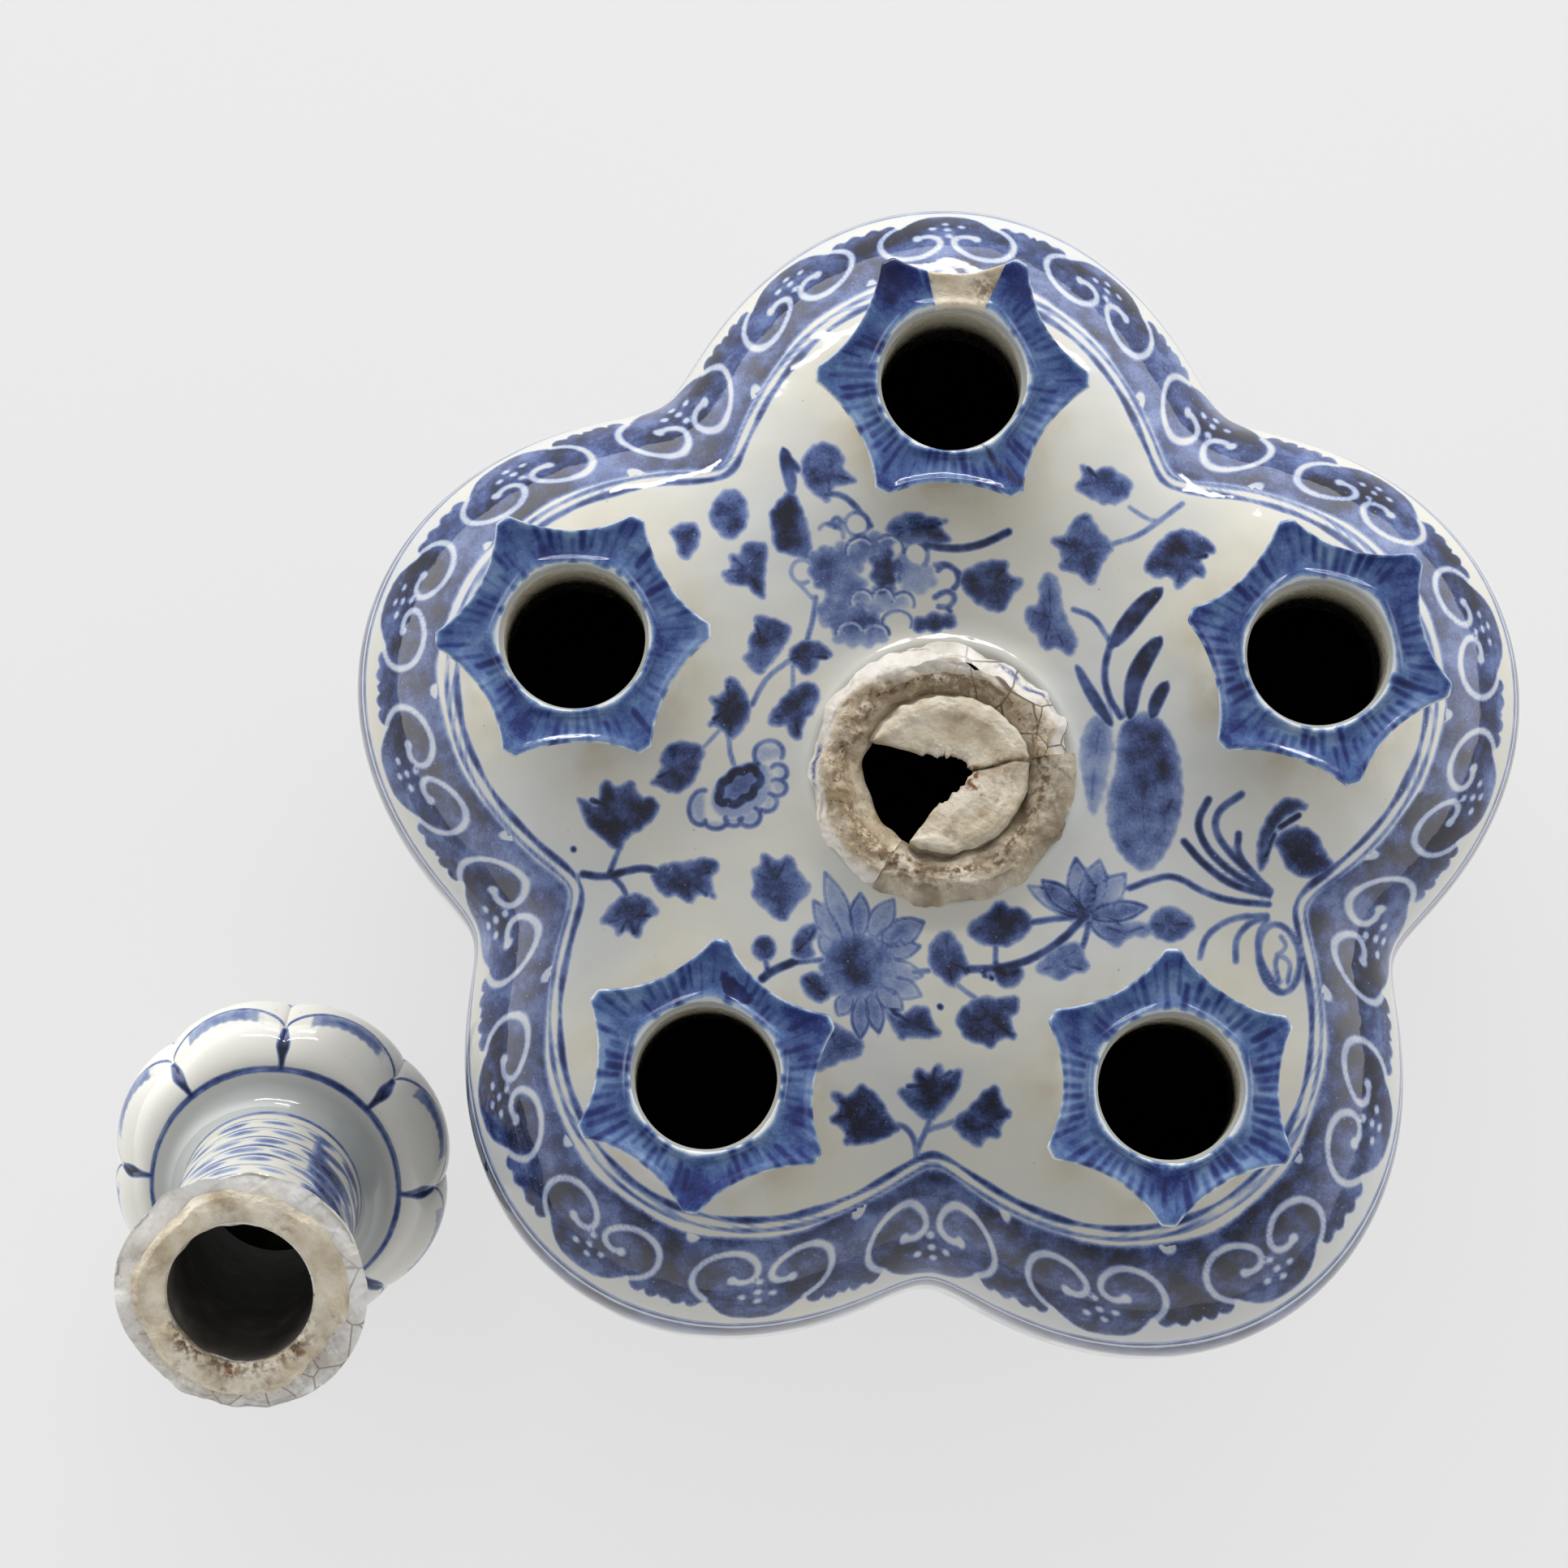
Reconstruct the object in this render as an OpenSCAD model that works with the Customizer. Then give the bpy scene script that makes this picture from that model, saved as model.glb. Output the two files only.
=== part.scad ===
// Five-lobed porcelain flower vase with five spouts, its neck broken off and set down beside it.
// Millimetres. The vase stands on its foot at Z = 0 with its axis on Z, spout 1 towards +Y.

/* [Vase body] */
// Reach of a lobe from the vase's axis, at the widest level
lobe_tip_r = 103; // [95:0.5:112]
// Extra reach of each lobe, as it was pressed by hand, from lobe 1 round to the left
lobe_extra = [0, 0, 1, 3.5, 0]; // [0:0.5:5]
// Reach of a valley between two lobes, at the widest level
valley_r = 83; // [76:0.5:88]
// Softness of the valleys: 0 is a crease, 0.3 a wide hollow
valley_soft = 0.15; // [0.08:0.01:0.3]
// Height of the widest level above the table
belly_z = 46; // [38:1:54]
// Rise of the dome above the widest level
dome_rise = 46; // [38:1:52]
// Fullness of the dome's profile: 2 is an ellipse, more is flatter on top
dome_full = 3.2; // [2.4:0.1:4]
// Fullness of the lower bowl's profile
bowl_full = 3.4; // [2:0.1:4.2]
// Thickness of the body's wall
wall = 4; // [3:0.25:5.5]
// Height of the foot slab
foot_h = 5; // [3:0.5:8]
// Reach of the foot, as a share of the widest outline
foot_share = 0.78; // [0.6:0.01:0.86]
// Inset of the foot slab's edge from the bowl above it
foot_inset = 2.5; // [1:0.5:4]

/* [Spouts] */
// Distance of a spout's axis from the vase's axis, as a share of a lobe's reach
spout_share = 0.6214; // [0.58:0.0002:0.65]
// Radius of a spout's bore
bore_r = 11.6; // [10:0.1:12.8]
// Wall of a spout's tube
spout_wall = 2.8; // [2:0.1:3.4]
// Height of the top of the tubes, where the flanges sit
spout_top_z = 102; // [98:0.5:108]
// Swell of a tube's top under its flange
spout_swell = 1.8; // [0.5:0.1:3]
// Reach of a flange's corner from its spout's axis
flange_corner_r = 22.4; // [21:0.2:25]
// Reach of the middle of a flange's hollowed side
flange_side_r = 17.6; // [17:0.1:19]
// Width of a flange's blunt corner
flange_blunt = 2.4; // [1:0.2:4]
// Rise of a flange's edge above its seat
flange_lift = 2.2; // [1:0.1:3.5]
// Thickness of a flange at its edge
flange_edge = 1.9; // [1.4:0.1:2.6]
// Turn of each flange on its spout, as set by hand, in degrees
flange_turns = [0, 3, 25, 30, 45]; // [0:1:59]

/* [Stump of the neck] */
// Bore of the stump, where the neck broke away
stump_bore_r = 15; // [13.5:0.25:17]
// Outer radius of the stump
stump_r = 22.8; // [20.5:0.1:25]
// Height of the stump above the dome
stump_h = 3.6; // [2.5:0.1:5]
// Inner radius of the curled shard left in the stump
shard_in_r = 5.2; // [4:0.1:10.5]
// Sweep of the shard, in degrees
shard_sweep = 232; // [180:4:248]
// Bearing of the shard's middle, in degrees
shard_bearing = 10; // [-20:5:40]
// Sweep of the old plaster that makes up the stump's missing side, in degrees
plaster_sweep = 130; // [90:5:160]

/* [Neck] */
// Length of the neck's tube from the break to the collar
tube_len = 45; // [38:0.5:52]
// Outer radius of the neck's tube
tube_r = 15.6; // [14.6:0.1:17]
// Bore of the neck's tube
tube_bore_r = 12.2; // [11:0.1:13]
// Outer radius of the flared root at the break
root_r = 21.2; // [20:0.1:23]
// Height of the flare above the break
root_h = 11; // [8:0.5:15]
// Height of the hollow collar between the tube and the bulb
collar_h = 7; // [5:0.5:10]
// Radius of the collar's edge
collar_r = 21.5; // [19.5:0.1:23.5]
// Largest radius of the bulb
bulb_r = 30; // [27:0.25:33]
// Height from the collar's edge to the bulb's largest radius
bulb_low_h = 11.5; // [9:0.5:14]
// Radius of the bulb's rounded shoulder
bulb_round_r = 9.5; // [8:0.25:12]
// Slope of the bulb's top towards the mouth, in degrees; the neck rests on it
bulb_slope = 23; // [20:0.5:28]
// Number of petals moulded on the bulb
petals = 8; // [6:1:10]
// Depth of the grooves between the petals
petal_groove = 1.5; // [0.6:0.1:2.2]
// Thickness of the bulb's wall
bulb_wall = 4; // [3:0.25:5]
// Outer radius of the mouth's lip
lip_r = 13.5; // [12.5:0.1:15]
// Bore of the mouth
mouth_r = 10.5; // [9:0.1:11.5]
// Place of the broken end's middle on the table plan, left of the axis
neck_x = -114.5; // [-135:0.5:-110]
// Place of the broken end's middle on the table plan, in front of the axis
neck_y = -87.5; // [-110:0.5:-70]
// Turn of the neck about the upright, in degrees
neck_bearing = -3; // [-12:1:12]

/* [Hidden] */

porcelain = "#d9dad6";
blue_wash = "#8795bd";
plaster = "#c9baa0";

// Smoothness of the true curves, and the steps of the lobed skins
$fn = 64;
around = 96;
dome_steps = 12;
bowl_steps = 9;
bulb_steps = 6;
bulb_around = 64;

lobes = 5;
first_lobe = 90;
flange_corners = 6;
// How fast the lobes fade towards the top of the dome
lobe_fade = 3;
// Gap filled by the clay slip between two pieces that were stuck together
slip = 0.15;
// Gap between two faces that meet along a break
break_gap = 0.1;
// Allowance by which a cutting shape stands past what it cuts
past = 1;

spout_pitch_r = spout_share * lobe_tip_r;
spout_r = bore_r + spout_wall;
spout_top_r = spout_r + spout_swell;
flange_bore_r = bore_r + 0.6;
dome_top_z = belly_z + dome_rise;
neck_hole_r = stump_bore_r;
function spout_angle(i) = first_lobe + 360 / lobes * i;

// Share of the lobe at a bearing: 1 on a lobe's crest, 0 in a valley
function lobe(a) =
    (sqrt(pow(cos(lobes / 2 * (a - first_lobe)), 2) + pow(valley_soft, 2)) - valley_soft)
    / (sqrt(1 + pow(valley_soft, 2)) - valley_soft);
// Reach of a lobe's crest beyond the valleys, for the lobe at a bearing
function lobe_reach(a) =
    let (turn = (a - first_lobe + 180 / lobes + 360) % 360)
    lobe_tip_r + lobe_extra[floor(turn * lobes / 360) % lobes] - valley_r;
// Reach of the dome at a bearing, for a share of the whole outline, with the wall taken off
function dome_r(a, share, inset) =
    share * (valley_r - inset + lobe_reach(a) * lobe(a) * pow(share, lobe_fade));
function dome_z(share, inset) =
    belly_z + (dome_rise - inset) * pow(1 - pow(share, dome_full), 1 / dome_full);
// Share of the outline at which the dome on a lobe's crest has a given reach
function crest_share(r, inset, low = 0, high = 1, left = 30) =
    left == 0 ? (low + high) / 2 :
    dome_r(first_lobe, (low + high) / 2, inset) > r ? crest_share(r, inset, low, (low + high) / 2, left - 1) :
    crest_share(r, inset, (low + high) / 2, high, left - 1);
function bowl_r(a, share, inset) = share * (valley_r + lobe_reach(a) * lobe(a)) - inset;

// A ring of points of a skin at one level
function dome_ring(share, inset) =
    [for (i = [0 : around - 1]) let (a = 360 * i / around, r = dome_r(a, share, inset))
        [r * cos(a), r * sin(a), dome_z(share, inset)]];
function bowl_ring(share, z, inset) =
    [for (i = [0 : around - 1]) let (a = 360 * i / around, r = bowl_r(a, share, inset))
        [r * cos(a), r * sin(a), z]];

// Triangles between two neighbouring rings of a skin
function band_faces(from, to, count) =
    [for (i = [0 : count - 1]) let (j = (i + 1) % count)
        each [[from * count + i, to * count + i, to * count + j],
              [from * count + i, to * count + j, from * count + j]]];

// A skin whose last ring joins its first: a wall with a hole through the middle
module ring_skin(rings, count) {
    last = len(rings) - 1;
    faces = [for (k = [0 : last]) each band_faces(k, (k + 1) % (last + 1), count)];
    polyhedron([for (ring = rings) each ring], faces);
}

// A skin closed by a point at each end: a cup
module cup_skin(first_point, rings, last_point, count) {
    last = len(rings) - 1;
    points = concat([for (ring = rings) each ring], [first_point, last_point]);
    first_index = (last + 1) * count;
    first_cap = [for (i = [0 : count - 1]) [first_index, i, (i + 1) % count]];
    last_cap = [for (i = [0 : count - 1])
        [first_index + 1, last * count + (i + 1) % count, last * count + i]];
    bands = [for (k = [0 : last - 1]) each band_faces(k, k + 1, count)];
    polyhedron(points, concat(first_cap, bands, last_cap));
}

// Profile steps of the dome, from the rim at 0 to the neck's hole at 1
function dome_share(step, inset) =
    let (end = acos(pow(neck_hole_r / (valley_r - inset), dome_full / 2)))
    pow(cos(end * step), 2 / dome_full);
function bowl_share(step) = foot_share + (1 - foot_share) * pow(cos(90 * step), 2 / bowl_full);
function bowl_z(step, floor_z) = belly_z - (belly_z - floor_z) * pow(sin(90 * step), 2 / bowl_full);

module dome_shell() {
    outer = [for (k = [0 : dome_steps]) dome_ring(dome_share(k / dome_steps, 0), 0)];
    inner = [for (k = [dome_steps : -1 : 0]) dome_ring(dome_share(k / dome_steps, wall), wall)];
    color(porcelain) difference() {
        ring_skin(concat(outer, inner), around);
        for (i = [0 : lobes - 1])
            rotate([0, 0, spout_angle(i)]) translate([spout_pitch_r, 0, belly_z])
                cylinder(r = spout_r + slip, h = dome_rise + past);
    }
}

module lower_bowl() {
    outer = [for (k = [bowl_steps : -1 : 0])
        bowl_ring(bowl_share(k / bowl_steps), bowl_z(k / bowl_steps, foot_h), 0)];
    inner = [for (k = [0 : bowl_steps])
        bowl_ring(bowl_share(k / bowl_steps), bowl_z(k / bowl_steps, foot_h + wall), wall)];
    color(porcelain)
        cup_skin([0, 0, foot_h], concat(outer, inner), [0, 0, foot_h + wall], around);
}

module foot() {
    outline = [for (i = [0 : around - 1]) let (a = 360 * i / around, r = bowl_r(a, foot_share, foot_inset))
        [r * cos(a), r * sin(a)]];
    color(porcelain) linear_extrude(foot_h) polygon(outline);
}

// A spout's tube goes down through the dome's wall on every side
module spout_tube(i) {
    low_z = dome_z(crest_share(spout_pitch_r + spout_r, wall), wall);
    profile = [
        [bore_r, low_z], [spout_r, low_z], [spout_r, spout_top_z - 3 * spout_swell],
        [spout_r + spout_swell / 3, spout_top_z - spout_swell], [spout_top_r, spout_top_z],
        [bore_r, spout_top_z]
    ];
    color(porcelain) rotate([0, 0, spout_angle(i)]) translate([spout_pitch_r, 0, 0])
        rotate_extrude() polygon(profile);
}

// Saucer of a flange with its six sides hollowed, standing on its seat at Z = 0
module flange_form() {
    half_angle = 180 / flange_corners - flange_blunt / flange_corner_r * 90 / PI;
    half_side = flange_corner_r * sin(half_angle);
    hollow = flange_corner_r * cos(half_angle) - flange_side_r;
    hollow_r = (half_side * half_side + hollow * hollow) / (2 * hollow);
    dish_z = flange_edge + flange_lift / 3;
    profile = [
        [flange_bore_r, 0], [spout_top_r, 0], [flange_corner_r, flange_lift],
        [flange_corner_r, flange_lift + flange_edge], [flange_side_r, dish_z + flange_lift / 8],
        [flange_bore_r + 2.4, dish_z], [flange_bore_r + 1.1, dish_z + 0.7], [flange_bore_r, dish_z + 0.5]
    ];
    difference() {
        rotate_extrude() polygon(profile);
        for (k = [0 : flange_corners - 1])
            rotate([0, 0, (k + 0.5) * 360 / flange_corners]) translate([flange_side_r + hollow_r, 0, -past])
                cylinder(r = hollow_r, h = flange_lift + flange_edge + 2 * past);
    }
}

// Wedge of the flange that was lost and filled, between two bearings
module fill_wedge(gap) {
    from = 66;
    sweep = 38;
    start = flange_bore_r + 1.4 + gap;
    height = flange_lift + flange_edge + past;
    rotate([0, 0, from]) rotate_extrude(angle = sweep)
        translate([start, -past]) square([flange_corner_r, height + past]);
}

module on_spout(i) {
    rotate([0, 0, spout_angle(i)]) translate([spout_pitch_r, 0, spout_top_z])
        rotate([0, 0, -spout_angle(i)]) children();
}

module spout_flange(i) {
    color(blue_wash) on_spout(i) difference() {
        rotate([0, 0, flange_turns[i]]) flange_form();
        if (i == 0) fill_wedge(0);
    }
}

module flange_fill() {
    color(plaster) on_spout(0) intersection() {
        rotate([0, 0, flange_turns[0]]) flange_form();
        fill_wedge(break_gap);
    }
}

// Broken edge of the stump, swept from one bearing to another
module stump_arc(from, sweep) {
    rotate([0, 0, from]) translate([0, 0, dome_top_z]) rotate_extrude(angle = sweep) polygon([
        [stump_bore_r, 0], [stump_r, 0], [stump_r - 0.6, stump_h / 3],
        [stump_r - 3.2, stump_h * 0.85], [stump_bore_r + 1.4, stump_h], [stump_bore_r, stump_h * 0.6]
    ]);
}

plaster_from = -120;
module repair_plaster() {
    color(plaster) stump_arc(plaster_from, plaster_sweep);
}

// The two broken sides of the stump stay a hair apart where they meet
module neck_root_ring() {
    gap = break_gap / stump_r * 180 / PI;
    color(porcelain) stump_arc(plaster_from + plaster_sweep + gap, 360 - plaster_sweep - 2 * gap);
}

// Curled piece of the neck's wall left standing in the stump's bore
module neck_shard() {
    out_r = stump_bore_r - slip;
    color(plaster) rotate([0, 0, shard_bearing - shard_sweep / 2]) translate([0, 0, dome_top_z])
        rotate_extrude(angle = shard_sweep) polygon([
            [out_r - 2.2, -wall], [out_r, -wall], [out_r, stump_h * 0.8],
            [out_r - 1.6, stump_h * 0.95], [shard_in_r + 0.6, stump_h * 0.4], [shard_in_r, -wall / 4],
            [shard_in_r + 1.2, -wall / 2]
        ]);
}

// The neck's own frame has the break at Z = 0 and the mouth upwards
collar_z = tube_len + collar_h;
bulb_z = collar_z + bulb_low_h;
shoulder_r = bulb_r - bulb_round_r + bulb_round_r * sin(bulb_slope);
shoulder_z = bulb_z + bulb_round_r * cos(bulb_slope);
lip_z = shoulder_z + (shoulder_r - lip_r) * tan(bulb_slope);

// The neck lies tipped on the slope of its bulb, broken end up
module beside_the_vase() {
    rest_h = lip_r * sin(bulb_slope) + lip_z * cos(bulb_slope);
    translate([neck_x, neck_y, rest_h]) rotate([0, 0, neck_bearing])
        rotate([180 + bulb_slope, 0, 0]) children();
}

// Chips out of the root's edge: bearing, slope and width of each
root_chips = [[15, 16, 16], [95, 22, 20], [190, 12, 18], [285, 26, 22]];
chip_start_r = tube_bore_r + 5.5;

module neck_tube() {
    color(porcelain) beside_the_vase() difference() {
        rotate_extrude() polygon([
            [tube_bore_r, 0], [root_r, 0], [root_r - 0.8, root_h / 5], [tube_r + 2, root_h / 2],
            [tube_r, root_h], [tube_r, tube_len], [tube_bore_r, tube_len]
        ]);
        for (chip = root_chips)
            rotate([0, 0, chip[0]]) translate([chip_start_r, -chip[2] / 2, 0]) rotate([0, -chip[1], 0])
                translate([0, 0, -root_h]) cube([root_r, chip[2], root_h]);
    }
}

// Crust of old plaster on the break
module neck_plaster() {
    crust = 1.6;
    color(plaster) beside_the_vase() translate([0, 0, -crust]) rotate_extrude() polygon([
        [tube_bore_r + 0.6, 0.6], [tube_bore_r + 1.6, 0], [chip_start_r - 1.2, 0.2],
        [chip_start_r, crust], [tube_bore_r + 0.4, crust]
    ]);
}

// Hollow curve from the tube out to the collar's edge
module neck_collar() {
    steps = 6;
    flare = [for (k = [0 : steps]) let (t = 90 * k / steps)
        [tube_r + (collar_r - tube_r) * (1 - cos(t)), tube_len + collar_h * sin(t) * 0.86]];
    color(porcelain) beside_the_vase() rotate_extrude()
        polygon(concat([[tube_bore_r, tube_len]], flare, [[collar_r, collar_z], [tube_bore_r, collar_z]]));
}

// Reach, height and groove share of the bulb's profile, from the collar to the shoulder
function bulb_low(step, inset) = let (t = 90 * step)
    [collar_r - inset + (bulb_r - collar_r) * sin(t), collar_z + bulb_low_h * (1 - cos(t)), sin(t)];
function bulb_high(step, inset) = let (t = (90 - bulb_slope) * step, r = bulb_round_r - inset)
    [bulb_r - bulb_round_r + r * cos(t), bulb_z + r * sin(t), cos(90 * step)];
// A groove lies between two petals, one of them straight up the neck's raised side
function groove(a) = 1 - sqrt(abs(sin(petals / 2 * (a - 90))));
function bulb_ring(p, depth) =
    [for (i = [0 : bulb_around - 1]) let (a = 360 * i / bulb_around, r = p[0] - depth * p[2] * groove(a))
        [r * cos(a), r * sin(a), p[1]]];

module neck_bulb() {
    hole_r = lip_r + break_gap;
    drop = bulb_wall / cos(bulb_slope);
    rim_z = lip_z - break_gap * tan(bulb_slope);
    outer = concat(
        [for (k = [0 : bulb_steps]) bulb_ring(bulb_low(k / bulb_steps, 0), petal_groove)],
        [for (k = [1 : bulb_steps]) bulb_ring(bulb_high(k / bulb_steps, 0), petal_groove)]);
    mouth = [bulb_ring([hole_r, rim_z, 0], 0), bulb_ring([hole_r, rim_z - drop, 0], 0)];
    inner = concat(
        [for (k = [bulb_steps : -2 : 1]) bulb_ring(bulb_high(k / bulb_steps, bulb_wall), 0)],
        [for (k = [bulb_steps : -2 : 0]) bulb_ring(bulb_low(k / bulb_steps, bulb_wall), 0)]);
    color(porcelain) beside_the_vase() ring_skin(concat(outer, mouth, inner), bulb_around);
}

module neck_lip() {
    depth = bulb_wall / cos(bulb_slope);
    round_over = (lip_r - mouth_r) / 3;
    color(porcelain) beside_the_vase() rotate_extrude() polygon([
        [mouth_r, lip_z - depth], [lip_r, lip_z - depth], [lip_r, lip_z],
        [lip_r - round_over, lip_z + round_over * tan(bulb_slope) / 2],
        [mouth_r + round_over / 2, lip_z], [mouth_r, lip_z - round_over]
    ]);
}

dome_shell();
lower_bowl();
foot();
for (i = [0 : lobes - 1]) {
    spout_tube(i);
    spout_flange(i);
}
flange_fill();
neck_root_ring();
neck_shard();
repair_plaster();
neck_tube();
neck_collar();
neck_bulb();
neck_lip();
neck_plaster();
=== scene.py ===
"""Looks of a five-lobed porcelain flower vase whose neck has broken off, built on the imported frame."""
import math

import bmesh
import bpy
import numpy as np
from mathutils import Matrix, Vector


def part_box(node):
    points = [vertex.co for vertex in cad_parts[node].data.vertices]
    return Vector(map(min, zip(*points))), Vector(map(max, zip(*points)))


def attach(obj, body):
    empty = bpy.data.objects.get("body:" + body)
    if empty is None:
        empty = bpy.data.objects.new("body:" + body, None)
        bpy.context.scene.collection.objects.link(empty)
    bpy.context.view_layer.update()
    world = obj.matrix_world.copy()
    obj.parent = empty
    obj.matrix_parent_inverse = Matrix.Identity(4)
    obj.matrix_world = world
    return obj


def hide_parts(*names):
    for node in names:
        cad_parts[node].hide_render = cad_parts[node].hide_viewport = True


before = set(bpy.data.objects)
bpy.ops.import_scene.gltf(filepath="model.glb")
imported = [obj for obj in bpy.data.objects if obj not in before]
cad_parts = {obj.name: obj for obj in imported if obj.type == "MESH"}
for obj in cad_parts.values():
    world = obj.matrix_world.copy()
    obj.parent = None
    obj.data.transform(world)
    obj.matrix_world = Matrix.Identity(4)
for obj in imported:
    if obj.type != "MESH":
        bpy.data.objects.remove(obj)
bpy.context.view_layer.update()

MM = 0.001

# Body of the vase, in metres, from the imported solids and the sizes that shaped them
LOBES = 5
FIRST_LOBE = math.pi / 2
dome_low, dome_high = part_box("dome_shell")
bowl_low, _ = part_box("lower_bowl")
TIP_R = dome_high.y
VALLEY_R = 83 * MM
LOBE_EXTRA = np.array([0, 0, 1, 3.5, 0]) * MM
VALLEY_SOFT = 0.15
LOBE_FADE = 3
BELLY_Z = dome_low.z
DOME_RISE = 46 * MM
DOME_TOP = BELLY_Z + DOME_RISE
DOME_FULL = 3.2
BOWL_FULL = 3.4
FOOT_SHARE = 0.78
FOOT_TOP = bowl_low.z
FOOT_INSET = 2.5 * MM
WALL = 4 * MM

# Spouts and their flanges
SPOUT_COUNT = 5
BORE_R = 11.6 * MM
SPOUT_R = 14.4 * MM
SPOUT_SWELL = 1.8 * MM
FLANGE_BORE_R = BORE_R + 0.6 * MM
FLANGE_CORNERS = 6
FLANGE_CORNER_R = 22.4 * MM
FLANGE_SIDE_R = 17.6 * MM
FLANGE_BLUNT = 2.4 * MM
FLANGE_TURNS = [0, 3, 25, 30, 45]
FILL_FROM = math.radians(66)
FILL_SWEEP = math.radians(38)
tube_boxes = [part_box(f"spout_tube_{i + 1}") for i in range(SPOUT_COUNT)]
SPOUT_AXES = [(low + high) / 2 for low, high in tube_boxes]
TUBE_LOW = tube_boxes[0][0].z
SPOUT_TOP = tube_boxes[0][1].z

# Stump of the neck
STUMP_BORE_R = 15 * MM
STUMP_R = 22.8 * MM
STUMP_H = 3.6 * MM
PLASTER_FROM = math.radians(-120)
PLASTER_SWEEP = math.radians(130)
STUMP_GAP = 0.004

# Neck, in its own frame: the break at 0 and the mouth upwards
TUBE_LEN = 45 * MM
TUBE_R = 15.6 * MM
TUBE_BORE_R = 12.2 * MM
ROOT_R = 21.2 * MM
ROOT_H = 11 * MM
COLLAR_R = 21.5 * MM
COLLAR_Z = 52 * MM
BULB_R = 30 * MM
BULB_LOW_H = 11.5 * MM
BULB_ROUND_R = 9.5 * MM
BULB_Z = COLLAR_Z + BULB_LOW_H
BULB_SLOPE = math.radians(23)
BULB_WALL = 4 * MM
PETALS = 8
PETAL_GROOVE = 1.5 * MM
LIP_R = 13.5 * MM
MOUTH_R = 10.5 * MM
SHOULDER_R = BULB_R - BULB_ROUND_R + BULB_ROUND_R * math.sin(BULB_SLOPE)
SHOULDER_Z = BULB_Z + BULB_ROUND_R * math.cos(BULB_SLOPE)
LIP_Z = SHOULDER_Z + (SHOULDER_R - LIP_R) * math.tan(BULB_SLOPE)
REST_H = LIP_R * math.sin(BULB_SLOPE) + LIP_Z * math.cos(BULB_SLOPE)
NECK_X = -114.5 * MM
NECK_Y = -87.5 * MM
NECK_TURN = math.radians(-3)
NECK_PLACE = (
    Matrix.Translation((NECK_X, NECK_Y, REST_H))
    @ Matrix.Rotation(NECK_TURN, 4, "Z")
    @ Matrix.Rotation(math.pi + BULB_SLOPE, 4, "X")
)

# Camera: almost straight above, a little in front of the vase; the image is square
PHOTO_SIDE = 1932
PHOTO_MID = PHOTO_SIDE / 2
FOCAL_PX = 7122.5
SENSOR_MM = 36
CAMERA_AWAY = 1.0
CAMERA_TIP = math.radians(6.81)
CAMERA_TURN = math.radians(1.31)
CAMERA_RIGHT_BY = 26.1 * MM
CAMERA_UP_BY = -3.8 * MM
AIM_Z = 46 * MM

camera_turn = Matrix.Rotation(CAMERA_TURN, 3, "Z")
camera_right = camera_turn @ Vector((1, 0, 0))
camera_up = camera_turn @ Vector((0, math.cos(CAMERA_TIP), math.sin(CAMERA_TIP)))
camera_back = camera_turn @ Vector((0, -math.sin(CAMERA_TIP), math.cos(CAMERA_TIP)))
camera_place = (
    Vector((0, 0, AIM_Z))
    - camera_right * CAMERA_RIGHT_BY
    - camera_up * CAMERA_UP_BY
    + camera_back * CAMERA_AWAY
)


def new_object(name, data):
    """An object for a mesh, a lamp or the camera, linked to the scene."""
    made = bpy.data.objects.new(name, data)
    bpy.context.scene.collection.objects.link(made)
    return made


def make_camera():
    data = bpy.data.cameras.new("camera")
    data.sensor_width = SENSOR_MM
    data.lens = FOCAL_PX * SENSOR_MM / PHOTO_SIDE
    data.clip_start = 0.01
    data.clip_end = 20
    camera = new_object("camera", data)
    turned = Matrix((camera_right, camera_up, camera_back)).transposed().to_4x4()
    camera.matrix_world = Matrix.Translation(camera_place) @ turned
    bpy.context.scene.camera = camera


# Skin of the body: the same formulas as the solids


def held(values):
    """Values held between 0 and 1."""
    return np.clip(values, 0, 1)


def mixed(first, second, share):
    return first * (1 - share) + second * share


def read_off(table, places):
    """Values read off a table of places and values, in a straight line between its rows."""
    return np.interp(places, *np.array(table).T)


def polar(places):
    """Bearing and reach of places about the upright."""
    return np.arctan2(places[:, 1], places[:, 0]), np.hypot(places[:, 0], places[:, 1])


def from_polar(bearing, reach, height):
    return np.stack([reach * np.cos(bearing), reach * np.sin(bearing), height], axis=1)


def half_turn(angle):
    """The same angle, between minus and plus half a turn."""
    return np.mod(angle + math.pi, math.tau) - math.pi


def away_from(axis, places):
    """Distance in plan from an upright axis."""
    return np.hypot(places[:, 0] - axis.x, places[:, 1] - axis.y)


def lobe_share(bearing):
    """1 on a lobe's crest, 0 in a valley."""
    wave = np.sqrt(np.cos(LOBES / 2 * (bearing - FIRST_LOBE)) ** 2 + VALLEY_SOFT**2)
    return (wave - VALLEY_SOFT) / (math.sqrt(1 + VALLEY_SOFT**2) - VALLEY_SOFT)


def lobe_reach(bearing):
    """How far the lobe at a bearing stands out past the valleys."""
    turn = np.mod(bearing - FIRST_LOBE + math.pi / LOBES, math.tau)
    which = np.floor(turn * LOBES / math.tau).astype(int) % LOBES
    return TIP_R + LOBE_EXTRA[which] - VALLEY_R


def dome_radius(bearing, share, inset=0):
    lobe = lobe_reach(bearing) * lobe_share(bearing) * share**LOBE_FADE
    return share * (VALLEY_R - inset + lobe)


def dome_height(share, inset=0):
    level = held(1 - np.minimum(share, 1) ** DOME_FULL) ** (1 / DOME_FULL)
    return BELLY_Z + (DOME_RISE - inset) * level


def bowl_radius(bearing, share, inset=0):
    return share * (VALLEY_R + lobe_reach(bearing) * lobe_share(bearing)) - inset


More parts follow.
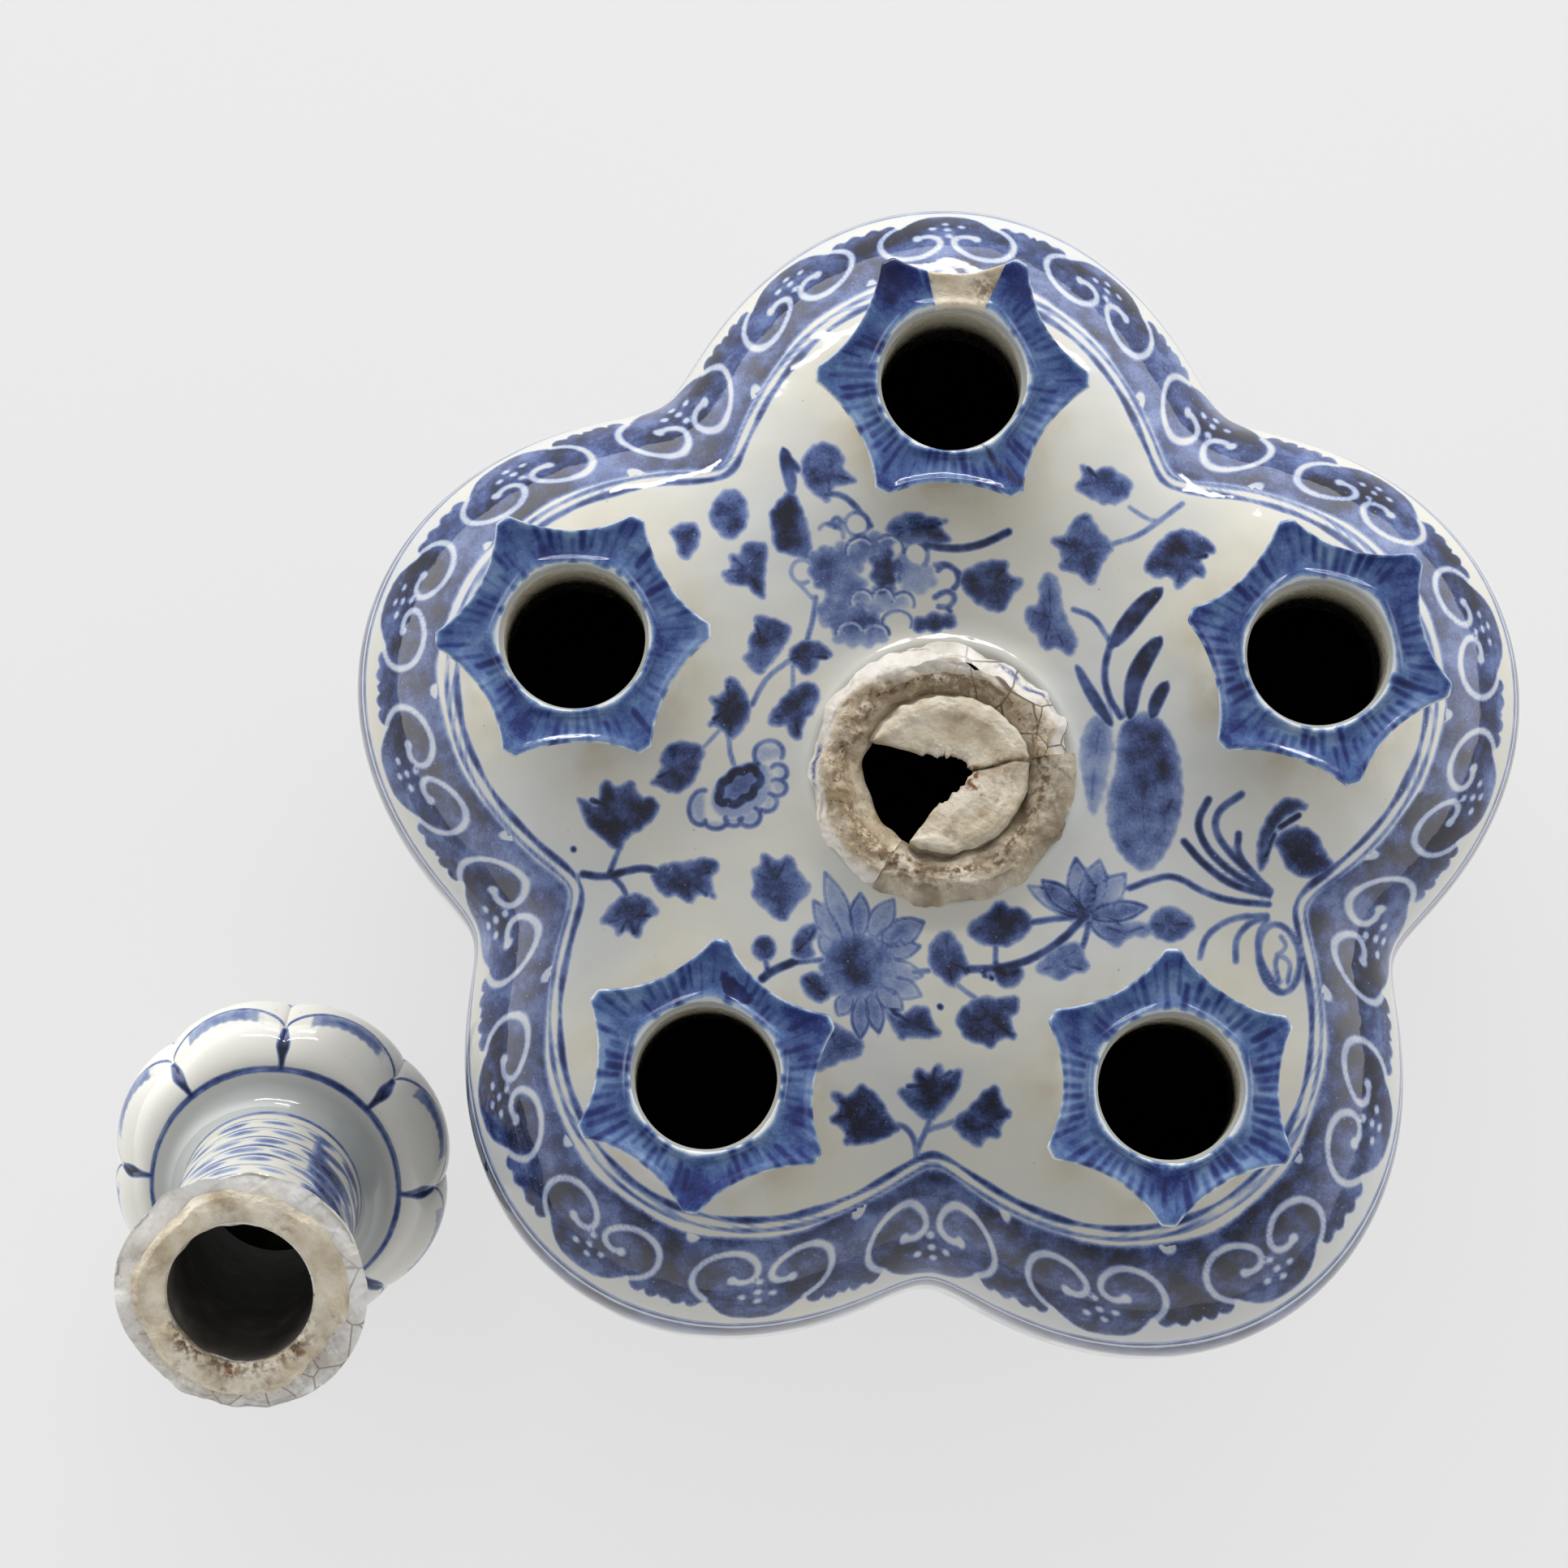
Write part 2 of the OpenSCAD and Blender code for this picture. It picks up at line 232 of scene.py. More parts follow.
# Search for a place on the dome: how far past the outline, how often it is halved, its rounds and its step
SHARE_LIMIT = 1.25
HALVINGS = 26
SKIN_ROUNDS = 14
SKIN_STEP = 0.6


def dome_share(bearing, radius):
    """The share of the outline at which the dome has a given reach."""
    low = np.zeros_like(radius)
    high = np.full_like(radius, SHARE_LIMIT)
    for _ in range(HALVINGS):
        middle = (low + high) / 2
        far = dome_radius(bearing, middle) > radius
        high = np.where(far, middle, high)
        low = np.where(far, low, middle)
    return (low + high) / 2


def on_dome(pixels):
    """Plan places in mm, on the dome's skin, of points read in the photograph."""
    pixels = np.asarray(pixels, float)
    rays = (
        np.outer((pixels[:, 0] - PHOTO_MID) / FOCAL_PX, camera_right)
        + np.outer((PHOTO_MID - pixels[:, 1]) / FOCAL_PX, camera_up)
        - np.array(camera_back)
    )
    start = np.array(camera_place)
    height = np.full(len(pixels), DOME_TOP)
    for _ in range(SKIN_ROUNDS):
        along = (height - start[2]) / rays[:, 2]
        places = start + rays * along[:, None]
        share = dome_share(*polar(places))
        height = (1 - SKIN_STEP) * height + SKIN_STEP * dome_height(share)
    return places[:, :2] / MM


# Small tools for meshes

WAVE_PITCH = 2.2
WAVE_HEIGHT = 0.8
TOUCHING = 1e-6
SHARP_ANGLE = math.radians(50)


def waves(points, size, seed, count=20):
    """A smooth uneven field of about -1 to 1, with swellings of about the given size."""
    chance = np.random.RandomState(seed)
    directions = chance.normal(size=(count, points.shape[1]))
    phases = chance.uniform(0, math.tau, count)
    together = np.sin(points @ directions.T / size * WAVE_PITCH + phases).sum(axis=1)
    return together / math.sqrt(count) * WAVE_HEIGHT


def spun(profile, steps, closed, angle=math.tau, start=0.0):
    """A profile of (reach, height) points carried about the upright: a grid, bent round and joined."""
    rows = list(profile) + ([profile[0]] if closed else [])
    bm = bmesh.new()
    bmesh.ops.create_grid(bm, x_segments=steps, y_segments=len(rows) - 1, size=1.0)
    bearings = [start + angle * k / steps for k in range(steps + 1)]
    turns = [(math.cos(bearing), math.sin(bearing)) for bearing in bearings]
    for vert in bm.verts:
        reach, height = rows[round((vert.co.y + 1) / 2 * (len(rows) - 1))]
        cosine, sine = turns[round((vert.co.x + 1) / 2 * steps)]
        vert.co = (reach * cosine, reach * sine, height)
    bmesh.ops.remove_doubles(bm, verts=bm.verts, dist=TOUCHING)
    whole = angle > math.tau - TOUCHING
    if closed and not whole:
        bmesh.ops.holes_fill(bm, edges=[e for e in bm.edges if e.is_boundary], sides=0)
    bmesh.ops.recalc_face_normals(bm, faces=bm.faces)
    return bm


def places_of(mesh):
    flat = np.empty(len(mesh.vertices) * 3, np.float32)
    mesh.vertices.foreach_get("co", flat)
    return flat.reshape(-1, 3).astype(float)


def put_places(mesh, places):
    mesh.vertices.foreach_set("co", np.asarray(places, np.float32).ravel())
    mesh.update()


def put_values(mesh, name, values):
    layer = mesh.attributes.new(name, "FLOAT", "POINT")
    layer.data.foreach_set("value", np.asarray(values, np.float32))


def mesh_of(bm, name):
    mesh = bpy.data.meshes.new(name)
    bm.to_mesh(mesh)
    bm.free()
    return mesh


def spun_piece(name, profile, steps, closed=True, **arc):
    """The mesh of a profile spun round, with the places, bearings and reaches of its points."""
    mesh = mesh_of(spun(profile, steps, closed, **arc), name)
    places = places_of(mesh)
    return mesh, places, *polar(places)


def drop_faces(mesh, whole, part):
    """Removes the faces with all corners in one mask, or any corner in the other."""
    bm = bmesh.new()
    bm.from_mesh(mesh)
    faces = [
        f for f in bm.faces
        if all(whole[v.index] for v in f.verts) or any(part[v.index] for v in f.verts)
    ]
    bmesh.ops.delete(bm, geom=faces, context="FACES")
    bm.to_mesh(mesh)
    bm.free()


def outward(mesh):
    """Turns all the faces of a finished mesh outwards and shades it, with sharp cut edges."""
    bm = bmesh.new()
    bm.from_mesh(mesh)
    bmesh.ops.recalc_face_normals(bm, faces=bm.faces)
    bm.to_mesh(mesh)
    bm.free()
    mesh.shade_smooth()
    mesh.set_sharp_from_angle(angle=SHARP_ANGLE)


def add_piece(mesh, materials, body, slot, *nodes):
    """Makes a finished mesh a piece; its "inside" value picks the second material, "torn" the third."""
    outward(mesh)
    piece = new_object(mesh.name, mesh)
    for material in materials:
        mesh.materials.append(material)
    for number, layer in enumerate(("inside", "torn")[: len(materials) - 1], start=1):
        values = np.empty(len(mesh.vertices), np.float32)
        mesh.attributes[layer].data.foreach_get("value", values)
        for face in mesh.polygons:
            if all(values[v] > 0.5 for v in face.vertices):
                face.material_index = number
    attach(piece, body)
    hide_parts(*nodes)


# Cobalt painting: strokes are laid on the points of a skin before firing

FAR = -4.0
BRUSH_REACH_MM = 3
LAYERS = ("wash", "tone", "ink", "ink_tone", "white")
DEPTHS = ("wash", "ink", "white")
# A wash is paler at its edge, and full from this depth on
WASH_EDGE_SHARE = 0.64
WASH_FULL_MM = 1.8
WASH_MARGIN_MM = 1.5
# Spacing of the points along a lobed outline, and the share of a lobe's bulge that stands inside the outline
OUTLINE_STEP_MM = 0.45
LOBE_INSIDE = 0.45


def softened(path, closed=False, passes=2):
    """Rounds the corners of a drawn path."""
    path = np.asarray(path, float)
    for _ in range(passes):
        ahead = np.roll(path, -1, axis=0) if closed else path[1:]
        here = path if closed else path[:-1]
        near = 0.75 * here + 0.25 * ahead
        far = 0.25 * here + 0.75 * ahead
        cut = np.empty((len(near) * 2, 2))
        cut[0::2] = near
        cut[1::2] = far
        path = cut if closed else np.vstack([path[:1], cut, path[-1:]])
    return path


def lobed(outline, spacing, bulge):
    """A leaf's closed outline with small rounded lobes along its edge."""
    closed = np.vstack([outline, outline[:1]])
    run = np.concatenate([[0], np.cumsum(np.hypot(*np.diff(closed, axis=0).T))])
    count = max(int(run[-1] / OUTLINE_STEP_MM), 12)
    at = np.linspace(0, run[-1], count, endpoint=False)
    path = np.stack([np.interp(at, run, closed[:, k]) for k in (0, 1)], axis=1)
    ahead = np.roll(path, -1, axis=0) - np.roll(path, 1, axis=0)
    side = np.stack([ahead[:, 1], -ahead[:, 0]], axis=1) / np.hypot(*ahead.T)[:, None]
    turning = np.sign(np.sum(path[:, 0] * np.roll(path[:, 1], -1) - np.roll(path[:, 0], -1) * path[:, 1]))
    lobes = max(round(run[-1] / spacing), 5)
    swell = np.abs(np.sin(math.pi * lobes * at / run[-1]))
    return path + side * turning * (bulge * (swell - LOBE_INSIDE))[:, None]


def ring_path(middle, across, up, turn=0.0, start=0.0, sweep=360.0, steps=20):
    """Points round an ellipse; angles in degrees."""
    angles = np.radians(np.linspace(start, start + sweep, steps + 1))
    x = across * np.cos(angles)
    y = up * np.sin(angles)
    c, s = math.cos(math.radians(turn)), math.sin(math.radians(turn))
    return np.stack([middle[0] + x * c - y * s, middle[1] + x * s + y * c], axis=1)


def along_path(points, path):
    """Distance of points to a path, and how far along the path the nearest place is."""
    best = np.full(len(points), 1e9)
    share = np.zeros(len(points))
    last = len(path) - 1
    for k in range(last):
        start, end = path[k], path[k + 1]
        step = end - start
        length = max(float(step @ step), 1e-12)
        t = held((points - start) @ step / length)
        gap = np.hypot(*(points - start - t[:, None] * step).T)
        closer = gap < best
        best = np.where(closer, gap, best)
        share = np.where(closer, (k + t) / last, share)
    return best, share


def inside_of(points, outline):
    """Whether points lie inside a closed outline."""
    x, y = points.T
    inside = np.zeros(len(points), bool)
    for (x0, y0), (x1, y1) in zip(outline, np.roll(outline, -1, axis=0)):
        if y0 != y1:
            crosses = ((y0 > y) != (y1 > y)) & (x < (x1 - x0) * (y - y0) / (y1 - y0) + x0)
            inside ^= crosses
    return inside


class Painting:
    """How far each point of a skin lies inside the washes, the lines and what is left white, in mm."""

    def __init__(self, points):
        self.points = points
        count = len(points)
        self.wash = np.full(count, FAR)
        self.tone = np.zeros(count)
        self.ink = np.full(count, FAR)
        self.ink_tone = np.zeros(count)
        self.white = np.full(count, FAR)

    def near(self, path, margin):
        low = path.min(axis=0) - margin
        high = path.max(axis=0) + margin
        return np.nonzero(np.all((self.points > low) & (self.points < high), axis=1))[0]

    def depth_in(self, outline):
        """The points about a closed outline, and how deep they lie inside it."""
        at = self.near(outline, BRUSH_REACH_MM)
        points = self.points[at]
        gap, _ = along_path(points, np.vstack([outline, outline[:1]]))
        return at, np.where(inside_of(points, outline), gap, -gap)

    def fill(self, outline, tone):
        """A wash inside a closed outline."""
        self.lay_wash(*self.depth_in(outline), tone)

    def lay_wash(self, at, depth, tone):
        self.wash[at] = np.maximum(self.wash[at], depth)
        core = WASH_EDGE_SHARE + (1 - WASH_EDGE_SHARE) * held(depth / WASH_FULL_MM)
        strength = tone * core * held((depth + 1.3) / 0.9)
        self.tone[at] = np.maximum(self.tone[at], strength)

    def line(self, path, width, tone, swell=0.0):
        """A brush line; swell above 0 makes it a blade, thick in the middle."""
        at = self.near(path, width + BRUSH_REACH_MM)
        gap, share = along_path(self.points[at], path)
        body = 1 - swell + swell * np.sin(math.pi * held(share)) ** 0.8
        self.lay_line(at, width / 2 * body - gap, tone)

    def lay_line(self, at, depth, tone):
        self.ink[at] = np.maximum(self.ink[at], depth)
        strength = tone * held((depth + 0.9) / 0.6)
        self.ink_tone[at] = np.maximum(self.ink_tone[at], strength)

    def wash_all(self, depth, tone):
        self.lay_wash(slice(None), depth, tone)

    def line_all(self, depth, tone):
        self.lay_line(slice(None), depth, tone)

    def retone(self, depth, tone):
        """Gives a wash, known by the depth it was laid with, another darkness."""
        self.tone = np.where(depth > -WASH_MARGIN_MM, tone, self.tone)

    def leave(self, path, width):
        """A line left white in a wash."""
        at = self.near(path, width + BRUSH_REACH_MM)
        gap, _ = along_path(self.points[at], path)
        self.white[at] = np.maximum(self.white[at], width / 2 - gap)

    def leave_area(self, outline):
        """A petal left white in a wash."""
        at, depth = self.depth_in(outline)
        self.white[at] = np.maximum(self.white[at], depth)

    def lay(self, strokes):
        """Lays a list of strokes: what is done, then its path and the rest."""
        for work, *details in strokes:
            getattr(self, work)(*details)

    def put_on(self, mesh, skin=1.0):
        """Writes the layers on a mesh; nothing is painted where skin is 0."""
        for layer in LAYERS:
            unpainted = FAR * (1 - skin) if layer in DEPTHS else 0
            put_values(mesh, layer, np.maximum(getattr(self, layer), FAR) * skin + unpainted)


# Sheets on which the sprays were drawn: left and top edge in the photograph, and points per pixel
TOP_SHEET = (820, 540, 3.136)
LEFT_SHEET = (620, 640, 2.904)
LOW_SHEET = (900, 1040, 3.015)
RIGHT_SHEET = (1240, 560, 2.306)
SHEETS = (TOP_SHEET, LEFT_SHEET, LOW_SHEET, RIGHT_SHEET)


def from_sheet(sheet, drawn):
    left, top, points_per_px = sheet
    drawn = np.asarray(drawn, float)
    return on_dome(np.stack([left + drawn[:, 0] / points_per_px, top + drawn[:, 1] / points_per_px], axis=1))


# Leaves of the sprays: darkness of the wash, then the outline on its sheet
TOP_LEAVES = [
    (0.74, [(530, 70), (590, 25), (660, 30), (695, 80), (680, 120), (738, 165), (690, 180), (640, 190),
        (635, 245), (590, 225), (545, 190), (525, 130)]),
    (0.97, [(487, 205), (520, 260), (545, 320), (563, 400), (550, 462), (490, 450), (420, 430), (412, 350),
        (400, 300), (430, 250)]),
    (0.8, [(190, 230), (245, 200), (300, 215), (325, 290), (305, 350), (250, 392), (200, 360), (165, 310)]),
    (0.76, [(25, 345), (70, 325), (120, 335), (132, 395), (110, 445), (75, 467), (45, 440), (45, 400),
        (15, 370)]),
    (0.8, [(300, 405), (345, 400), (385, 415), (390, 480), (380, 560), (378, 612), (350, 610), (320, 565),
        (275, 570), (240, 560), (220, 520), (262, 500), (245, 450), (290, 455)]),
    (0.82, [(345, 690), (400, 690), (482, 735), (460, 800), (420, 855), (365, 908), (330, 890), (295, 850),
        (330, 815), (318, 775), (350, 740)]),
    (0.95, [(495, 800), (550, 778), (610, 795), (645, 845), (595, 845), (590, 880), (548, 912), (510, 885),
        (478, 850)]),
    (0.86, [(240, 925), (285, 945), (310, 985), (330, 1045), (315, 1105), (250, 1162), (215, 1115),
        (165, 1105), (205, 1060), (170, 1000), (222, 1000)]),
    (0.84, [(490, 960), (560, 950), (600, 985), (575, 1060), (535, 1090), (515, 1168), (475, 1135),
        (465, 1100), (425, 1118), (398, 1085), (450, 1010)]),
    (0.8, [(860, 340), (900, 295), (960, 282), (1030, 310), (1092, 320), (1050, 345), (1098, 385),
        (1070, 412), (1000, 410), (920, 415), (870, 385)]),
    (0.82, [(1140, 540), (1190, 490), (1260, 470), (1325, 485), (1310, 530), (1385, 550), (1340, 600),
        (1300, 665), (1220, 650), (1160, 600)]),
    (0.62, [(1440, 560), (1480, 528), (1525, 550), (1530, 640), (1560, 720), (1600, 790), (1555, 838),
        (1520, 800), (1460, 810), (1440, 760), (1400, 735), (1395, 660), (1450, 640)]),
]
LEFT_LEAVES = [
    (0.86, [(600, 797), (660, 795), (717, 825), (700, 890), (680, 945), (610, 975), (565, 955), (528, 940),
        (572, 895), (560, 850)]),
    (0.95, [(415, 1180), (350, 1135), (300, 1095), (275, 1030), (280, 992), (345, 1035), (345, 960),
        (370, 935), (408, 968), (455, 935), (490, 1003), (535, 990), (545, 1035), (510, 1100), (440, 1135)]),
    (0.86, [(540, 1265), (590, 1228), (660, 1225), (730, 1207), (772, 1245), (738, 1285), (757, 1360),
        (705, 1330), (668, 1373), (620, 1335), (590, 1357), (545, 1315)]),
    (0.82, [(390, 1375), (440, 1340), (510, 1345), (557, 1410), (505, 1430), (480, 1503), (445, 1460),
        (410, 1492), (398, 1450), (350, 1446)]),
    (0.7, [(930, 1195), (980, 1230), (1022, 1203), (1055, 1262), (1100, 1320), (1045, 1380), (1000, 1433),
        (930, 1392), (884, 1345), (905, 1300), (890, 1262), (925, 1240)]),
]
LOW_LEAVES = [
    (0.75, [(235, 340), (280, 298), (325, 300), (330, 330), (295, 370), (320, 420), (270, 432), (232, 410)]),
    (0.75, [(270, 490), (320, 475), (372, 510), (365, 570), (325, 592), (280, 560), (262, 520)]),
    (0.8, [(575, 605), (625, 655), (680, 600), (730, 610), (745, 660), (780, 705), (720, 722), (660, 715),
        (637, 732), (600, 680)]),
    (0.62, [(330, 700), (370, 665), (430, 690), (490, 740), (475, 800), (420, 800), (380, 825), (310, 842),
        (318, 790)]),
    (0.78, [(735, 420), (745, 360), (800, 325), (850, 360), (870, 420), (888, 470), (850, 500), (825, 532),
        (790, 500), (745, 470)]),
    (0.88, [(885, 320), (900, 285), (950, 260), (1000, 215), (1040, 240), (1085, 235), (1113, 290),
        (1095, 340), (1040, 380), (980, 375), (930, 375)]),
    (0.85, [(975, 465), (1030, 445), (1085, 460), (1085, 510), (1035, 540), (990, 515)]),
    (0.62, [(1145, 440), (1200, 380), (1300, 370), (1310, 410), (1333, 470), (1260, 480), (1235, 512),
        (1180, 490), (1140, 470)]),
    (0.84, [(845, 650), (880, 590), (940, 562), (1000, 575), (1060, 570), (1072, 620), (1030, 650),
        (1060, 720), (1000, 715), (975, 752), (925, 735), (885, 735)]),
    (0.97, [(375, 930), (400, 920), (440, 945), (480, 900), (510, 905), (560, 950), (600, 1030),
        (625, 1045), (570, 1095), (500, 1115), (420, 1105), (440, 1070), (368, 1020), (420, 990)]),
    (0.9, [(625, 905), (690, 905), (685, 850), (705, 832), (740, 860), (770, 812), (800, 860), (850, 830),
        (855, 890), (810, 970), (740, 1025), (660, 975)]),
    (0.97, [(825, 1035), (900, 970), (950, 910), (990, 910), (1005, 960), (1040, 1010), (1000, 1040),
        (1000, 1085), (940, 1090), (935, 1130), (880, 1105)]),
    (0.5, [(1370, 300), (1470, 285), (1560, 300), (1555, 350), (1480, 340), (1440, 395), (1380, 345)]),
]
RIGHT_LEAVES = [
    (0.74, [(215, 25), (245, 55), (290, 30), (325, 55), (355, 80), (340, 130), (290, 148), (230, 120),
        (195, 90), (220, 70)]),
    (0.76, [(125, 240), (170, 235), (185, 190), (230, 172), (265, 220), (300, 260), (270, 310), (240, 370),
        (205, 335), (150, 320), (165, 285)]),
    (0.9, [(398, 320), (430, 250), (480, 212), (545, 220), (595, 280), (545, 285), (565, 350), (530, 340),
        (487, 385), (470, 340), (425, 355)]),
    (0.58, [(330, 760), (400, 742), (470, 790), (497, 870), (502, 1000), (470, 1110), (400, 1172),
        (335, 1150), (290, 1080), (280, 980), (312, 900), (312, 820)]),
    (0.86, [(335, 770), (400, 755), (455, 790), (480, 860), (470, 930), (430, 960), (390, 985), (350, 930),
        (330, 850)]),
    (0.72, [(420, 980), (480, 960), (490, 1040), (450, 1090), (410, 1050)]),
    (0.38, [(220, 765), (268, 745), (312, 800), (292, 900), (270, 1000), (240, 1022), (212, 900),
        (200, 860)]),
    (0.95, [(722, 1175), (712, 1110), (735, 1040), (775, 985), (815, 975), (858, 1008), (800, 1020),
        (765, 1060), (745, 1120), (738, 1170)]),
    (0.88, [(762, 1100), (815, 1052), (860, 1065), (885, 1085), (905, 1130), (928, 1168), (862, 1207),
        (800, 1185), (780, 1130)]),
    (0.72, [(405, 1335), (430, 1290), (480, 1282), (535, 1330), (510, 1370), (470, 1390), (420, 1370)]),
]
LEAVES = (TOP_LEAVES, LEFT_LEAVES, LOW_LEAVES, RIGHT_LEAVES)

# Flowers, drawn on closer sheets: washes over one another, petals left white, and brush lines
PEONY_SHEET = (940, 560, 3.92)
DAISY_SHEET = (900, 1050, 3.409)
# Petals of the peony: middle on the sheet, half width, half height, turn and darkness
PEONY_PETALS = [
    ((540, 450), 92, 72, 0, 0.52), ((405, 500), 96, 78, 20, 0.42), ((298, 552), 74, 104, -12, 0.64),
    ((586, 566), 60, 84, 12, 0.94), ((748, 604), 94, 72, -15, 0.28), ((690, 528), 58, 52, 0, 0.44),
    ((395, 640), 108, 84, 10, 0.48), ((580, 706), 140, 62, 0, 0.3), ((362, 770), 104, 84, 15, 0.52),
    ((482, 800), 88, 58, -10, 0.72), ((470, 872), 140, 58, 0, 0.42), ((828, 812), 112, 40, -8, 0.94),
]
# Arches of the petals in front: middle, half width, half height, turn, start and sweep
PEONY_ARCHES = [
    ((478, 712), 56, 60, -12, 180, 180), ((580, 700), 52, 58, 0, 180, 180),
    ((676, 722), 52, 56, 12, 180, 180), ((420, 860), 66, 56, -10, 185, 170),
    ((545, 866), 62, 50, 5, 185, 170), ((648, 812), 70, 56, 0, 180, 200),
    ((470, 470), 70, 70, -20, 190, 150), ((610, 452), 66, 60, 15, 200, 150),
]
PEONY_WHITE = [((455, 335), 46, 44), ((738, 480), 46, 46)]
PEONY_LINES = [
    (0.8, 0.6, [(845, 560), (880, 530), (935, 555), (950, 615), (920, 650)]),
    (0.8, 0.55, [(830, 690), (890, 655), (935, 690), (900, 740), (850, 735)]),
    (0.9, 0.66, [(300, 195), (370, 190), (430, 230), (470, 280), (520, 345)]),
    (0.8, 0.55, [(325, 340), (355, 300), (385, 325), (350, 352)]),
    (0.8, 0.46, [(255, 690), (245, 790), (215, 890)]),
    (0.6, 0.26, [(150, 600), (190, 640), (235, 690)]),
]
PEONY_LOOPS = [
    ((455, 335), 56, 54, 0, 0, 360), ((738, 490), 58, 58, 0, 120, 300), ((190, 565), 54, 56, 0, 60, 260),
    ((330, 380), 60, 44, 20, 180, 180),
]
SIDE_FLOWER_BODY = ((858, 968), 128, 88, -36)
SIDE_FLOWER_HEART = ((845, 955), 98, 58, -36)
SIDE_FLOWER_LOOPS = [
    ((950, 838), 52, 46, -20, 150, 250), ((985, 905), 30, 28, 0, 220, 220), ((978, 960), 34, 30, 0, 240, 220),
    ((945, 1012), 34, 32, 0, 280, 200), ((880, 1062), 40, 36, 0, 300, 220), ((825, 1068), 30, 28, 0, 0, 190),
    ((762, 1078), 40, 28, 0, 0, 180), ((712, 1030), 46, 62, 10, 60, 210),
]
# Petals: root and tip on the sheet, width in mm and darkness
DAISY_PETALS = [
    ((505, 370), (398, 88), 3.6, 0.34), ((460, 385), (350, 205), 3.2, 0.4),
    ((540, 350), (545, 176), 3.4, 0.46), ((590, 345), (684, 204), 4.0, 0.42),
    ((640, 375), (812, 295), 4.6, 0.48), ((650, 425), (795, 395), 3.0, 0.34),
    ((660, 480), (805, 520), 3.2, 0.3), ((645, 540), (800, 602), 3.6, 0.32),
    ((620, 580), (722, 658), 3.4, 0.4), ((590, 600), (624, 756), 3.0, 0.46),
    ((550, 610), (544, 782), 3.0, 0.46), ((500, 600), (452, 684), 3.0, 0.38),
    ((450, 435), (372, 352), 2.8, 0.4), ((440, 520), (400, 590), 2.6, 0.34),
    ((615, 365), (740, 330), 3.0, 0.46),
]
DAISY_HEART = (530, 480)
ASTER_HEART = (1310, 265)
ASTER_PETALS = [
    ((1300, 260), (1106, 158), 3.2, 0.24), ((1292, 250), (1160, 138), 3.4, 0.76),
    ((1305, 250), (1284, 55), 3.8, 0.5), ((1325, 250), (1372, 62), 4.8, 0.4),
    ((1340, 255), (1466, 112), 4.8, 0.34), ((1345, 265), (1545, 235), 3.4, 0.6),
    ((1345, 285), (1470, 345), 3.8, 0.42), ((1320, 240), (1330, 120), 3.0, 0.66),
]
BERRY = ((125, 388), 44, 46)
# Single dark specks in the glaze, as pixels of the photograph
GLAZE_SPECKS = [
    (1170, 753), (1158, 1240), (1189, 1197), (1213, 1201), (1221, 1204), (706, 1046), (1424, 1322),
]
SPECK_MM = 0.7
# Stems and tendrils: width in mm, darkness, and the way on the sheet
TOP_STEMS = [
    (1.3, 0.85, [(1000, 412), (1100, 428), (1180, 422), (1250, 400), (1325, 362)]),
    (0.8, 0.45, [(1005, 400), (1010, 450), (1005, 495)]),
    (0.9, 0.5, [(490, 850), (420, 900), (375, 945), (335, 1030)]),
    (0.7, 0.45, [(492, 880), (492, 960)]),
    (0.8, 0.5, [(245, 1160), (248, 1210), (262, 1255)]),
    (0.7, 0.4, [(215, 1120), (170, 1170), (140, 1200)]),
    (0.8, 0.5, [(1040, 490), (1090, 482), (1140, 525)]),
]
TOP_BLADES = [
    (2.2, 0.7, [(455, 40), (475, 120), (490, 215)]),
    (1.4, 0.5, [(455, 60), (500, 110), (520, 130)]),
]
LEFT_STEMS = [
    (0.9, 0.55, [(415, 1175), (400, 1215), (382, 1258)]),
    (1.2, 0.88, [(285, 1268), (360, 1282), (430, 1260), (500, 1245), (545, 1258)]),
    (0.9, 0.6, [(395, 1285), (425, 1310), (440, 1345)]),
]
LOW_STEMS = [
    (1.4, 0.9, [(118, 500), (160, 468), (230, 440)]), (0.8, 0.6, [(230, 440), (340, 430)]),
    (0.8, 0.6, [(130, 430), (140, 480)]),
    (1.0, 0.62, [(1110, 292), (1200, 278), (1300, 268)]),
    (1.3, 0.78, [(1310, 275), (1230, 360), (1120, 430), (1000, 462), (885, 465)]),
    (0.9, 0.66, [(1332, 290), (1322, 340), (1308, 382)]),
    (0.8, 0.55, [(985, 460), (985, 380)]), (0.9, 0.6, [(680, 475), (735, 470)]),
    (0.8, 0.5, [(840, 520), (880, 552), (910, 570)]),
    (0.9, 0.55, [(690, 1150), (682, 1090), (650, 1050), (620, 1042)]),
    (0.9, 0.55, [(692, 1140), (720, 1080), (742, 1020)]),
    (0.9, 0.55, [(735, 1062), (790, 1045), (830, 1030)]),
]
